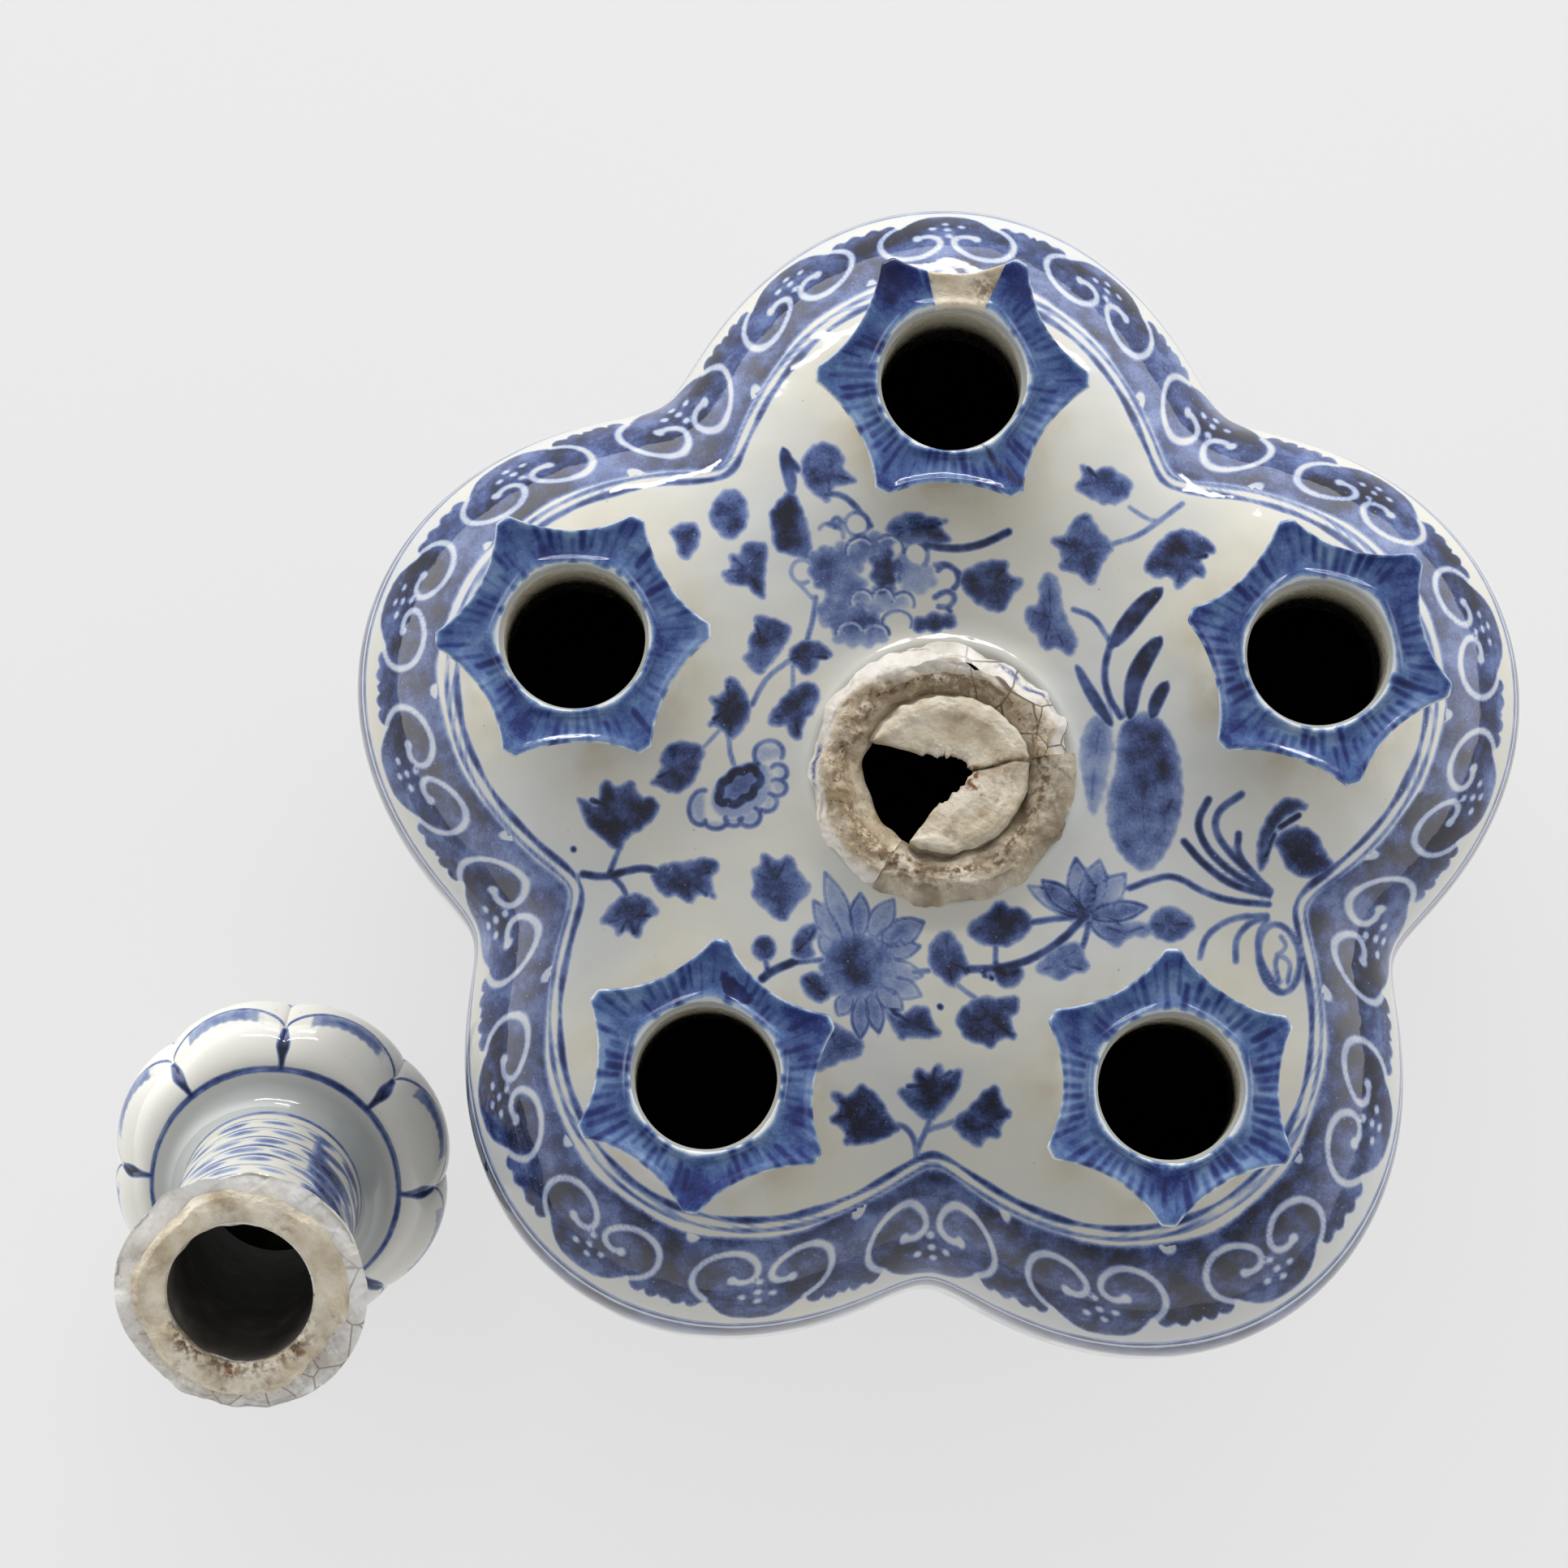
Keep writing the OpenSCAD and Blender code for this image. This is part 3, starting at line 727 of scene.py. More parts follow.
RIGHT_STEMS = [
    (0.9, 0.5, [(300, 255), (380, 230), (440, 185), (500, 140)]),
    (0.7, 0.4, [(350, 150), (400, 185), (440, 190)]),
    (0.9, 0.55, [(190, 440), (250, 460), (290, 525)]),
    (1.1, 0.75, [(295, 540), (275, 620), (290, 690), (325, 745)]),
    (1.0, 0.8, [(350, 1232), (420, 1205), (480, 1195), (560, 1245), (640, 1270), (745, 1278)]),
    (1.2, 0.85, [(505, 1100), (560, 1165), (640, 1225), (745, 1250)]),
    (1.2, 0.85, [(575, 980), (540, 1040), (560, 1110), (640, 1190), (740, 1240)]),
    (1.2, 0.85, [(668, 965), (600, 1010), (590, 1070), (640, 1140), (740, 1230)]),
    (1.1, 0.8, [(660, 1078), (655, 1130), (690, 1180), (750, 1240)]),
    (1.0, 0.6, [(550, 1430), (565, 1365), (640, 1315), (740, 1310)]),
    (1.0, 0.6, [(652, 1440), (650, 1375), (690, 1330), (740, 1315)]),
    (1.0, 0.55, [(770, 1520), (720, 1440), (712, 1370), (740, 1320)]),
    (0.8, 0.45, [(775, 1500), (760, 1430), (800, 1400), (780, 1370)]),
    (0.8, 0.45, [(800, 1500), (810, 1440), (770, 1420)]),
]
RIGHT_BLADES = [
    (3.0, 0.92, [(440, 382), (385, 430), (335, 495), (298, 545)]),
    (3.0, 0.92, [(438, 522), (395, 575), (358, 650), (352, 748)]),
    (2.2, 0.85, [(458, 648), (430, 690), (412, 748)]),
    (1.9, 0.7, [(200, 600), (235, 670), (270, 725), (300, 770)]),
]
ROUND_FLOWER = ((775, 1432), 58, 98, -8)
STEMS = (TOP_STEMS, LEFT_STEMS, LOW_STEMS, RIGHT_STEMS)
SHEET_BLADES = [(TOP_SHEET, TOP_BLADES), (RIGHT_SHEET, RIGHT_BLADES)]
STEM_LIGHTER = 0.9
BLADE_SWELL = 0.8

# Leaves: how far their points are drawn out, the lobes of their edges, and the veins from share to share
LEAF_POINT_PULL = 1.12
LEAF_LOBE_MM = 2.4
LEAF_BULGE_MM = 0.2
VEIN_FROM = 0.12
VEIN_TO = 0.7
VEIN_MM = 0.8
VEIN_DARKER = 0.12

# One side of a petal: share of its length, and share of half its width
PETAL_SIDE = [(0, 0.5), (0.45, 1), (0.75, 0.7), (1, 0)]
PETAL_LINE_MM = 0.5
PETAL_LINE_DARKER = 0.14


def petal_strokes(sheet, root, tip, width, tone):
    """An outlined petal with a thin wash."""
    start, end = from_sheet(sheet, [root, tip])
    out = end - start
    side = np.array([-out[1], out[0]]) / np.hypot(*out) * width / 2
    one_side = [start + out * along + side * off for along, off in PETAL_SIDE]
    other_side = [start + out * along - side * off for along, off in PETAL_SIDE[::-1]]
    outline = softened(one_side + other_side, closed=True)
    edge = np.vstack([outline, outline[:1]])
    yield "fill", outline, tone
    yield "line", edge, PETAL_LINE_MM, min(tone + PETAL_LINE_DARKER, 0.9)


def leaf_strokes():
    """Each leaf as a wash with its points drawn out, and darker strokes from its middle towards them."""
    for sheet, leaves in zip(SHEETS, LEAVES):
        for tone, outline in leaves:
            drawn = from_sheet(sheet, outline)
            middle = drawn.mean(axis=0)
            out = drawn - middle
            reach = np.hypot(out[:, 0], out[:, 1])
            tips = (reach > np.roll(reach, 1)) & (reach >= np.roll(reach, -1))
            pulled = middle + out * np.where(tips, LEAF_POINT_PULL, 1.0)[:, None]
            edge = lobed(softened(pulled, closed=True, passes=1), LEAF_LOBE_MM, LEAF_BULGE_MM)
            yield "fill", edge, tone
            for way in out[tips]:
                vein = np.array([middle + VEIN_FROM * way, middle + VEIN_TO * way])
                yield "line", vein, VEIN_MM, min(tone + VEIN_DARKER, 1.0)


def ring_on(sheet, *ring):
    """An ellipse drawn on a sheet, as a path on the dome."""
    return from_sheet(sheet, ring_path(*ring))


def peony_strokes():
    for *ring, tone in PEONY_PETALS:
        yield "fill", lobed(ring_on(PEONY_SHEET, *ring)[:-1], 2.8, 0.7), tone
    for middle, across, up, *sweep in PEONY_ARCHES:
        yield "leave", ring_on(PEONY_SHEET, middle, across * 0.86, up * 0.82, *sweep), 0.45
        yield "line", ring_on(PEONY_SHEET, middle, across, up, *sweep), 0.55, 0.72
    for spot in PEONY_WHITE:
        yield "leave_area", ring_on(PEONY_SHEET, *spot)
    for width, tone, way in PEONY_LINES:
        yield "line", softened(from_sheet(PEONY_SHEET, way)), width, tone
    for loop in PEONY_LOOPS:
        yield "line", ring_on(PEONY_SHEET, *loop), 0.7, 0.34


def side_flower_strokes():
    middle, across, up, turn = SIDE_FLOWER_HEART
    heart = lobed(ring_on(LEFT_SHEET, middle, across * 0.84, up * 0.8, turn)[:-1], 2.6, 0.5)
    yield "fill", ring_on(LEFT_SHEET, *SIDE_FLOWER_BODY), 0.26
    yield "fill", ring_on(LEFT_SHEET, *SIDE_FLOWER_HEART), 0.46
    yield "line", heart, 1.5, 0.84
    for loop in SIDE_FLOWER_LOOPS:
        yield "fill", ring_on(LEFT_SHEET, *loop), 0.20
        yield "line", ring_on(LEFT_SHEET, *loop), 0.7, 0.52


def flower_strokes():
    yield from peony_strokes()
    yield from side_flower_strokes()
    for petal in DAISY_PETALS:
        yield from petal_strokes(DAISY_SHEET, *petal)
    yield "fill", lobed(ring_on(DAISY_SHEET, DAISY_HEART, 150, 150), 2.4, 0.8), 0.52
    yield "fill", lobed(ring_on(DAISY_SHEET, DAISY_HEART, 95, 105), 2.4, 0.6), 0.84
    for petal in ASTER_PETALS:
        yield from petal_strokes(LOW_SHEET, *petal)
    yield "fill", ring_on(LOW_SHEET, ASTER_HEART, 32, 26), 1.0
    yield "fill", ring_on(LOW_SHEET, *BERRY), 0.86
    yield "line", ring_on(RIGHT_SHEET, *ROUND_FLOWER), 0.9, 0.5


def stem_strokes():
    for sheet, stems in zip(SHEETS, STEMS):
        for width, tone, way in stems:
            path = softened(from_sheet(sheet, way))
            yield "line", path, width * STEM_LIGHTER, tone * STEM_LIGHTER
    for sheet, blades in SHEET_BLADES:
        for width, tone, way in blades:
            yield "line", softened(from_sheet(sheet, way)), width, tone, BLADE_SWELL
    for x, y in GLAZE_SPECKS:
        yield "line", on_dome([(x, y), (x + 1, y + 1)]), SPECK_MM, 1.0


# Border on the shoulder: twenty cloud heads between a double line and a scalloped edge

HEADS = 20
LINE_VALLEY_R = 62.5 * MM
LINE_CREST_R = 84.0 * MM
BAND_VALLEY_R = 65.0 * MM
BAND_CREST_R = 87.5 * MM
BAND_END_SHARE = 0.978
WALL_GAP_SHARE = 0.006
BAND_MM = 16.0
LINE_MM = 0.8
THIN_LINE_MM = 0.5
LINE_GAP_MM = 1.7
SCROLL_MM = 1.25
# One side of a cloud head: share of the spacing along the band, share of the band's width outwards
SCROLL = [(0.278, 0.77), (0.35, 0.68), (0.393, 0.56), (0.398, 0.42), (0.352, 0.27), (0.262, 0.19),
          (0.16, 0.19), (0.08, 0.27), (0.036, 0.38), (0.048, 0.48), (0.108, 0.535), (0.172, 0.5)]
OUTER_CURL_POINTS = 9
HEAD_DOTS = [(-0.08, 0.71), (0.0, 0.645), (0.085, 0.67), (0.012, 0.765), (-0.012, 0.52)]
HEAD_DOT_MM = 1.5
EDGE_POINTS = [(0.0, 1.0), (0.1, 0.985), (0.16, 0.93), (0.21, 0.85), (0.255, 0.765), (0.285, 0.75),
               (0.305, 0.83), (0.335, 0.87), (0.365, 0.86), (0.385, 0.8), (0.405, 0.86), (0.435, 0.885),
               (0.46, 0.86), (0.475, 0.8), (0.5, 0.86)]
INNER_TOOTH_MM = 1.6
BAND_MIDDLE_SHARE = 0.93
HEAD_SEED = 5
HEAD_LEAN = 0.02
HEAD_RISE = 0.03
BAND_TONE = 0.74
BAND_CLOUDING = 0.2
HEAD_DARKER = 0.1
CURL_END_WIDER = 1.45


def outline_by_bearing(valley_r, crest_r, bearing):
    return valley_r + (crest_r - valley_r) * lobe_share(bearing)


def head_places(bearing):
    """How many cloud heads lie before a bearing, along the band's middle, and their spacing there in mm."""
    table = np.linspace(0, math.tau, 1441)
    radius = dome_radius(table, np.full_like(table, BAND_MIDDLE_SHARE))
    steps = np.hypot(np.diff(radius * np.cos(table)), np.diff(radius * np.sin(table)))
    length = np.concatenate([[0], np.cumsum(steps)])
    valley = FIRST_LOBE - math.pi / LOBES
    knots = [valley + math.tau / LOBES * k for k in range(-2, LOBES + 2)]
    laps = np.floor(np.array(knots) / math.tau)
    run = np.interp(np.mod(knots, math.tau), table, length) + length[-1] * laps
    per_lobe = HEADS / LOBES
    heads = np.interp(length, run, per_lobe * np.arange(len(knots)))
    pitch = np.gradient(length, heads)
    wrapped = np.mod(bearing, math.tau)
    return np.interp(wrapped, table, heads), np.interp(wrapped, table, pitch) / MM


def across_band(bearing, share):
    """How far out a point lies on the band: 0 at its inner edge, 1 at its outer edge, along the skin."""
    shares = np.linspace(0.6, 1.0, 161)
    columns = np.linspace(0, math.tau, 361)
    grid_share, grid_bearing = np.meshgrid(shares, columns)
    radius = dome_radius(grid_bearing, grid_share)
    height = dome_height(grid_share)
    steps = np.hypot(np.diff(radius, axis=1), np.diff(height, axis=1))
    run = np.concatenate([np.zeros((len(columns), 1)), np.cumsum(steps, axis=1)], axis=1)
    inner = dome_share(columns, outline_by_bearing(BAND_VALLEY_R, BAND_CREST_R, columns))
    start = np.array([np.interp(s, shares, row) for s, row in zip(inner, run)])
    end = np.array([np.interp(BAND_END_SHARE, shares, row) for row in run])
    column = np.mod(bearing, math.tau) / math.tau * (len(columns) - 1)
    place = held((share - shares[0]) / (shares[-1] - shares[0])) * (len(shares) - 1)
    c0 = np.minimum(column.astype(int), len(columns) - 2)
    p0 = np.minimum(place.astype(int), len(shares) - 2)
    past = column - c0
    near = mixed(run[c0, p0], run[c0 + 1, p0], past)
    far = mixed(run[c0, p0 + 1], run[c0 + 1, p0 + 1], past)
    begin = mixed(start[c0], start[c0 + 1], past)
    finish = mixed(end[c0], end[c0 + 1], past)
    return (mixed(near, far, place - p0) - begin) / (finish - begin)


def paint_double_line(painting, bearing, radius):
    line = outline_by_bearing(LINE_VALLEY_R, LINE_CREST_R, bearing)
    turn = 1e-3
    slope = (outline_by_bearing(LINE_VALLEY_R, LINE_CREST_R, bearing + turn) - line) / turn
    square = line / np.hypot(line, slope)
    from_line = (radius - line) / MM * square
    uneven = 0.12 * np.sin(bearing * 47) + 0.1 * np.sin(bearing * 23 + 1)
    painting.line_all(LINE_MM / 2 + uneven - np.abs(from_line), 0.7)
    painting.line_all(THIN_LINE_MM / 2 + uneven / 2 - np.abs(from_line - LINE_GAP_MM), 0.56)


def paint_band(painting, bearing, share):
    """The blue ground of the border with its cloud heads left in white lines."""
    head, pitch = head_places(bearing)
    out = across_band(bearing, share)
    number = np.round(head).astype(int) % HEADS
    chance = np.random.RandomState(HEAD_SEED)
    lean = chance.uniform(-HEAD_LEAN, HEAD_LEAN, HEADS)[number]
    rise = chance.uniform(-HEAD_RISE, HEAD_RISE, HEADS)[number]
    along = head - np.round(head) + lean * held(1 - np.abs(out - 0.5))
    side = np.abs(along)
    edge = read_off(EDGE_POINTS, side)
    inner = 0.012 * np.sin(head * 9.3) + 0.01 * np.sin(head * 4.1)
    depth = np.minimum(out - inner, edge - out) * BAND_MM
    cloud = waves(np.stack([head, out * 0.6], axis=1), 0.35, 3)
    painting.wash_all(depth, 1.0)
    painting.retone(depth, BAND_TONE + BAND_CLOUDING * cloud)
    local = np.stack([along * pitch, (out + rise) * BAND_MM], axis=1)
    mean_pitch = float(np.mean(pitch))
    band = Painting(local)
    for flip in (-1, 1):
        curl = np.array(SCROLL) * [flip * mean_pitch, BAND_MM]
        band.leave(softened(curl, passes=3), SCROLL_MM)
        band.leave(np.stack([curl[-1], curl[-1] + 0.05]), SCROLL_MM * CURL_END_WIDER)
    outer_curl = np.array(SCROLL[:OUTER_CURL_POINTS])
    head_outline = np.vstack([outer_curl, outer_curl[::-1] * [-1, 1]]) * [mean_pitch, BAND_MM]
    within = inside_of(local, softened(head_outline, closed=True, passes=1))
    painting.retone(depth, painting.tone + HEAD_DARKER * within)
    for u, v in HEAD_DOTS:
        at = np.hypot(local[:, 0] - u * mean_pitch, (local[:, 1] - v * BAND_MM) * 1.15)
        band.white = np.maximum(band.white, HEAD_DOT_MM / 2 - at)
    from_gap = (0.5 - side) * pitch
    tooth = np.where(out > -0.01, INNER_TOOTH_MM - np.hypot(from_gap * 1.2, out * BAND_MM), FAR)
    painting.white = np.maximum(np.maximum(painting.white, band.white), tooth)


# Lower wall: levels and widths of its lines, and where its blue ground begins and ends, in mm
WALL_LINES = [(64.4, 0.7), (62.9, 0.7), (13.5, 1.0), (11.2, 0.8)]
GROUND_TOP = 61.4
GROUND_LOW = 17.0
WALL_LINE_TONE = 0.68
GROUND_TONE = 0.84
GROUND_CLOUDING = 0.12
# White panels: level of the middle, half width, half height, corners, and the round notch in each side, in mm
PANEL_MID = 38.0
PANEL_HALF_W = 9.2
PANEL_HALF_H = 16.5
PANEL_ROUND = 4
NOTCH_R = 3.2
# A thin line inside a panel's edge: how far in, and half its width
PANEL_LINE_IN = 1.6
PANEL_LINE_HALF = 0.45
SPRIG_MARGIN = 1.8
SPRIG_STEM_MM = 0.8
SPRIG_STEMS = [
    [(-0.5, -11), (0.8, -4), (-0.6, 3), (0.6, 9)],
    [(0.4, -3), (3.4, 0), (4.6, 4)],
    [(-0.2, 1), (-3.2, 4), (-4.4, 8)],
    [(0.2, -7), (-3.2, -6), (-4.8, -3)],
]
# Leaves of a sprig: middle, half width, half height and turn
SPRIG_LEAVES = [
    ((4.4, 5.6), 1.5, 2.4, -20), ((-4.4, 9.2), 1.4, 2.2, 20), ((-5.0, -1.6), 1.4, 2.2, 15),
    ((3.8, -6), 1.5, 2.4, 30), ((0.8, 10.6), 2.0, 2.0, 0),
]
# White curls between the panels: middle, half width, half height, turn, start and sweep
GROUND_CURLS = [((0, 6), 3.0, 4.2, 0, -60, 260), ((0, -7), 3.0, 4.0, 0, 110, 260)]
GROUND_CURL_MM = 1.0


def paint_wall(painting, bearing, height_mm):
    """Double lines and a blue ground with white panels round the lower wall."""
    head, pitch = head_places(bearing)
    along = head - np.round(head)
    side = np.abs(along) * pitch
    for level, width in WALL_LINES:
        painting.line_all(width / 2 - np.abs(height_mm - level), WALL_LINE_TONE)
    ground = np.minimum(GROUND_TOP - height_mm, height_mm - GROUND_LOW)
    panel_x = side - PANEL_HALF_W
    panel_y = np.abs(height_mm - PANEL_MID) - PANEL_HALF_H
    corner_x = np.maximum(panel_x + PANEL_ROUND, 0)
    corner_y = np.maximum(panel_y + PANEL_ROUND, 0)
    corner = np.hypot(corner_x, corner_y) - PANEL_ROUND
    notch = NOTCH_R - np.hypot(panel_x, height_mm - PANEL_MID)
    depth = np.minimum(ground, np.maximum(np.maximum(corner, np.maximum(panel_x, panel_y)), notch))
    cloud = waves(np.stack([head, height_mm / 25], axis=1), 0.4, 8)
    painting.wash_all(depth, 1.0)
    painting.retone(depth, GROUND_TONE + GROUND_CLOUDING * cloud)
    edge_line = PANEL_LINE_HALF - np.abs(np.maximum(corner, -notch) + PANEL_LINE_IN)
    painting.line_all(np.where(ground > 0, edge_line, FAR), 0.5)
    sprig = Painting(np.stack([along * pitch, height_mm - PANEL_MID], axis=1))
    for way in SPRIG_STEMS:
        sprig.line(softened(way), SPRIG_STEM_MM, 0.7)
    for leaf in SPRIG_LEAVES:
        sprig.fill(ring_path(*leaf, steps=12), 0.82)
    inside = corner < -SPRIG_MARGIN
    for layer in LAYERS:
        mine = getattr(painting, layer)
        setattr(painting, layer, np.where(inside, np.maximum(mine, getattr(sprig, layer)), mine))
    from_gap = np.sign(along) * (0.5 * pitch - side)
    curls = Painting(np.stack([from_gap, height_mm - PANEL_MID], axis=1))
    for curl in GROUND_CURLS:
        curls.leave(ring_path(*curl, steps=16), GROUND_CURL_MM)
    painting.white = np.maximum(painting.white, curls.white)


# Materials


def set_inputs(tree, node, inputs):
    """Sets a shader node's inputs to values or to other nodes' outputs."""
    for name, value in inputs.items():
        if isinstance(value, bpy.types.NodeSocket):
            tree.links.new(value, node.inputs[name])
        else:
            node.inputs[name].default_value = value


def wire(tree, kind, inputs=None, **settings):
    """A new shader node with its settings and inputs."""
    made = tree.nodes.new(kind)
    for name, value in settings.items():
        setattr(made, name, value)
    set_inputs(tree, made, inputs or {})
    return made


def value_of(tree, name):
    return wire(tree, "ShaderNodeAttribute", attribute_name=name).outputs["Fac"]


def noise(tree, size_mm, detail=3.0, roughness=0.55):
    """Noise on the piece's own place, with patches of about the given size."""
    place = wire(tree, "ShaderNodeTexCoord").outputs["Object"]
    inputs = {"Vector": place, "Scale": 1 / (size_mm * MM), "Detail": detail, "Roughness": roughness}
    return wire(tree, "ShaderNodeTexNoise", inputs).outputs["Fac"]


def cells(tree, size_mm, feature="DISTANCE_TO_EDGE"):
    place = wire(tree, "ShaderNodeTexCoord").outputs["Object"]
    inputs = {"Vector": place, "Scale": 1 / (size_mm * MM)}
    return wire(tree, "ShaderNodeTexVoronoi", inputs, feature=feature).outputs["Distance"]


def calc(tree, operation, first, second=0.0, clamp=False):
    inputs = {0: first, 1: second}
    return wire(tree, "ShaderNodeMath", inputs, operation=operation, use_clamp=clamp).outputs[0]


def times(tree, first, second):
    return calc(tree, "MULTIPLY", first, second)


def plus(tree, first, second):
    return calc(tree, "ADD", first, second)


def fade(tree, value, low, high, start=0.0, end=1.0):
    inputs = {"Value": value, "From Min": low, "From Max": high, "To Min": start, "To Max": end}
    return wire(tree, "ShaderNodeMapRange", inputs, interpolation_type="SMOOTHSTEP").outputs["Result"]


def blend(tree, amount, first, second):
    inputs = {0: amount, 6: first, 7: second}
    return wire(tree, "ShaderNodeMix", inputs, data_type="RGBA").outputs[2]


def ramp(tree, value, stops):
    made = wire(tree, "ShaderNodeValToRGB", {"Fac": value})
    band = made.color_ramp
    while len(band.elements) < len(stops):
        band.elements.new(1.0)
    for element, (place, colour) in zip(band.elements, stops):
        element.position = place
        element.color = colour
    return made.outputs["Color"]


def bump(tree, height, strength, depth_mm):
    inputs = {"Height": height, "Strength": strength, "Distance": depth_mm * MM}
    return wire(tree, "ShaderNodeBump", inputs).outputs["Normal"]


def new_material(name):
    material = bpy.data.materials.new(name)
    material.use_nodes = True
    tree = material.node_tree
    return material, tree, tree.nodes["Principled BSDF"]


GLAZE_IOR = 1.5
GLAZE_CREAM = (0.535, 0.522, 0.458, 1)
GLAZE_COOL = (0.49, 0.5, 0.49, 1)
GLAZE_STAIN = (0.42, 0.34, 0.21, 1)
# Painted shade: a grey for the glaze in the hollow of the neck's collar
GLAZE_PAINTED_SHADE = (0.33, 0.35, 0.345, 1)
# Painted light: a paler glaze for the bulb, as if it were lit more strongly
GLAZE_PAINTED_LIGHT = (0.72, 0.705, 0.645, 1)
IRON_SPECK = (0.16, 0.13, 0.09, 1)
DUST = (0.36, 0.37, 0.38, 1)
COBALT = [
    (0.0, (0.42, 0.44, 0.48, 1)),
    (0.2, (0.235, 0.285, 0.41, 1)),
    (0.42, (0.09, 0.13, 0.285, 1)),
    (0.64, (0.03, 0.048, 0.14, 1)),
    (0.84, (0.014, 0.019, 0.052, 1)),
    (1.0, (0.008, 0.009, 0.02, 1)),
]
FLANGE_PALE = (0.5, 0.52, 0.52, 1)
FLANGE_COOL = (0.44, 0.47, 0.52, 1)
FLANGE_CRACK = (0.03, 0.024, 0.02, 1)
FLANGE_COBALT = [
    (0.0, (0.42, 0.46, 0.5, 1)),
    (0.22, (0.155, 0.235, 0.375, 1)),
    (0.46, (0.055, 0.105, 0.25, 1)),
    (0.72, (0.014, 0.028, 0.14, 1)),
    (1.0, (0.006, 0.009, 0.055, 1)),
]
# Painted shade: the reservoir's inside, near black so that it looks dark through the bores
PAINTED_SHADE_INSIDE = [(0.3, (0.006, 0.005, 0.004, 1)), (0.7, (0.016, 0.013, 0.01, 1))]
# Dark browns inside the neck's bore
NECK_BORE_DARK = [(0.3, (0.03, 0.026, 0.021, 1)), (0.58, (0.075, 0.066, 0.054, 1)), (0.8, (0.16, 0.145, 0.12, 1))]
BORE_CLEAN = (0.7, 0.67, 0.57, 1)
BORE_STAINED = (0.58, 0.52, 0.4, 1)
# Painted shade deep inside the spouts
BORE_PAINTED_SHADE = (0.035, 0.03, 0.022, 1)
PLASTER_DULL = [
    (0.28, (0.13, 0.085, 0.048, 1)), (0.42, (0.255, 0.205, 0.14, 1)),
    (0.58, (0.355, 0.305, 0.23, 1)), (0.78, (0.43, 0.385, 0.31, 1)),
]
PLASTER_CREAM = [
    (0.28, (0.42, 0.33, 0.21, 1)), (0.42, (0.56, 0.48, 0.35, 1)),
    (0.58, (0.68, 0.615, 0.5, 1)), (0.78, (0.76, 0.715, 0.625, 1)),
]
PLASTER_DIRT = (0.095, 0.056, 0.026, 1)
PLASTER_RUST = (0.17, 0.055, 0.016, 1)
BREAK_COOL = [(0.3, (0.6, 0.57, 0.52, 1)), (0.5, (0.76, 0.75, 0.73, 1)), (0.72, (0.84, 0.845, 0.845, 1))]
BREAK_CREAM = [(0.3, (0.4, 0.31, 0.2, 1)), (0.5, (0.55, 0.47, 0.345, 1)), (0.72, (0.66, 0.6, 0.5, 1))]
BREAK_CRACK = (0.11, 0.07, 0.038, 1)
BREAK_BLUE = (0.05, 0.075, 0.215, 1)
BREAK_SOIL = (0.215, 0.15, 0.085, 1)
BREAK_DARK = (0.075, 0.045, 0.022, 1)
BISCUIT = [(0.3, (0.36, 0.31, 0.24, 1)), (0.55, (0.5, 0.46, 0.39, 1)), (0.8, (0.56, 0.53, 0.47, 1))]


def cobalt_depth(tree):
    """How dark the cobalt lies at a point, from the painted washes, lines and what was left white."""
    ragged = times(tree, calc(tree, "SUBTRACT", noise(tree, 1.3, 2.0), 0.5), 0.36)
    wash_edge = plus(tree, value_of(tree, "wash"), ragged)
    pooled = fade(tree, noise(tree, 4.2), 0.28, 0.72, 0.66, 1.24)
    speckle = fade(tree, noise(tree, 0.45, 2.0), 0.3, 0.75, 1.05, 0.84)
    tone = times(tree, times(tree, value_of(tree, "tone"), pooled), speckle)
    wash = times(tree, fade(tree, wash_edge, -0.64, 0.6), tone)
    line_edge = plus(tree, value_of(tree, "ink"), times(tree, ragged, 0.5))
    line_tone = times(tree, value_of(tree, "ink_tone"), pooled)
    line = times(tree, fade(tree, line_edge, -0.46, 0.4), line_tone)
    white_edge = plus(tree, value_of(tree, "white"), times(tree, ragged, 0.6))
    kept = fade(tree, white_edge, -0.32, 0.36, 1.0, 0.16)
    return calc(tree, "MULTIPLY", calc(tree, "MAXIMUM", wash, line), kept, clamp=True)


def painted_glaze():
    material, tree, shader = new_material("painted_glaze")
    depth = cobalt_depth(tree)
    body = blend(tree, fade(tree, noise(tree, 38, 2.0), 0.35, 0.65), GLAZE_CREAM, GLAZE_COOL)
    stain = times(tree, value_of(tree, "stain"), fade(tree, noise(tree, 9, 4.0), 0.35, 0.7))
    body = blend(tree, stain, body, GLAZE_STAIN)
    # Painted shade: the pooled value greys the glaze in the collar's hollow
    body = blend(tree, value_of(tree, "pooled"), body, GLAZE_PAINTED_SHADE)
    # Painted light: the bulb's glaze made paler where it stands in the light
    body = blend(tree, value_of(tree, "painted_light"), body, GLAZE_PAINTED_LIGHT)
    specks = fade(tree, cells(tree, 3.4, "F1"), 0.03, 0.075, 0.55, 0.0)
    specks = times(tree, specks, fade(tree, noise(tree, 14), 0.5, 0.62))
    body = blend(tree, specks, body, IRON_SPECK)
    colour = blend(tree, fade(tree, depth, 0.0, 0.2), body, ramp(tree, depth, COBALT))
    dust = fade(tree, cells(tree, 1.5, "F1"), 0.05, 0.13, 0.55, 0.0)
    dust = times(tree, dust, fade(tree, noise(tree, 6.0), 0.45, 0.6))
    swell = plus(tree, noise(tree, 7.0, 2.0), times(tree, noise(tree, 0.9, 2.0), 0.05))
    set_inputs(tree, shader, {
        "Base Color": blend(tree, dust, colour, DUST),
        "Roughness": fade(tree, noise(tree, 3.0), 0.3, 0.8, 0.035, 0.09),
        "Normal": bump(tree, swell, 0.25, 0.35),
        "IOR": GLAZE_IOR,
    })
    return material


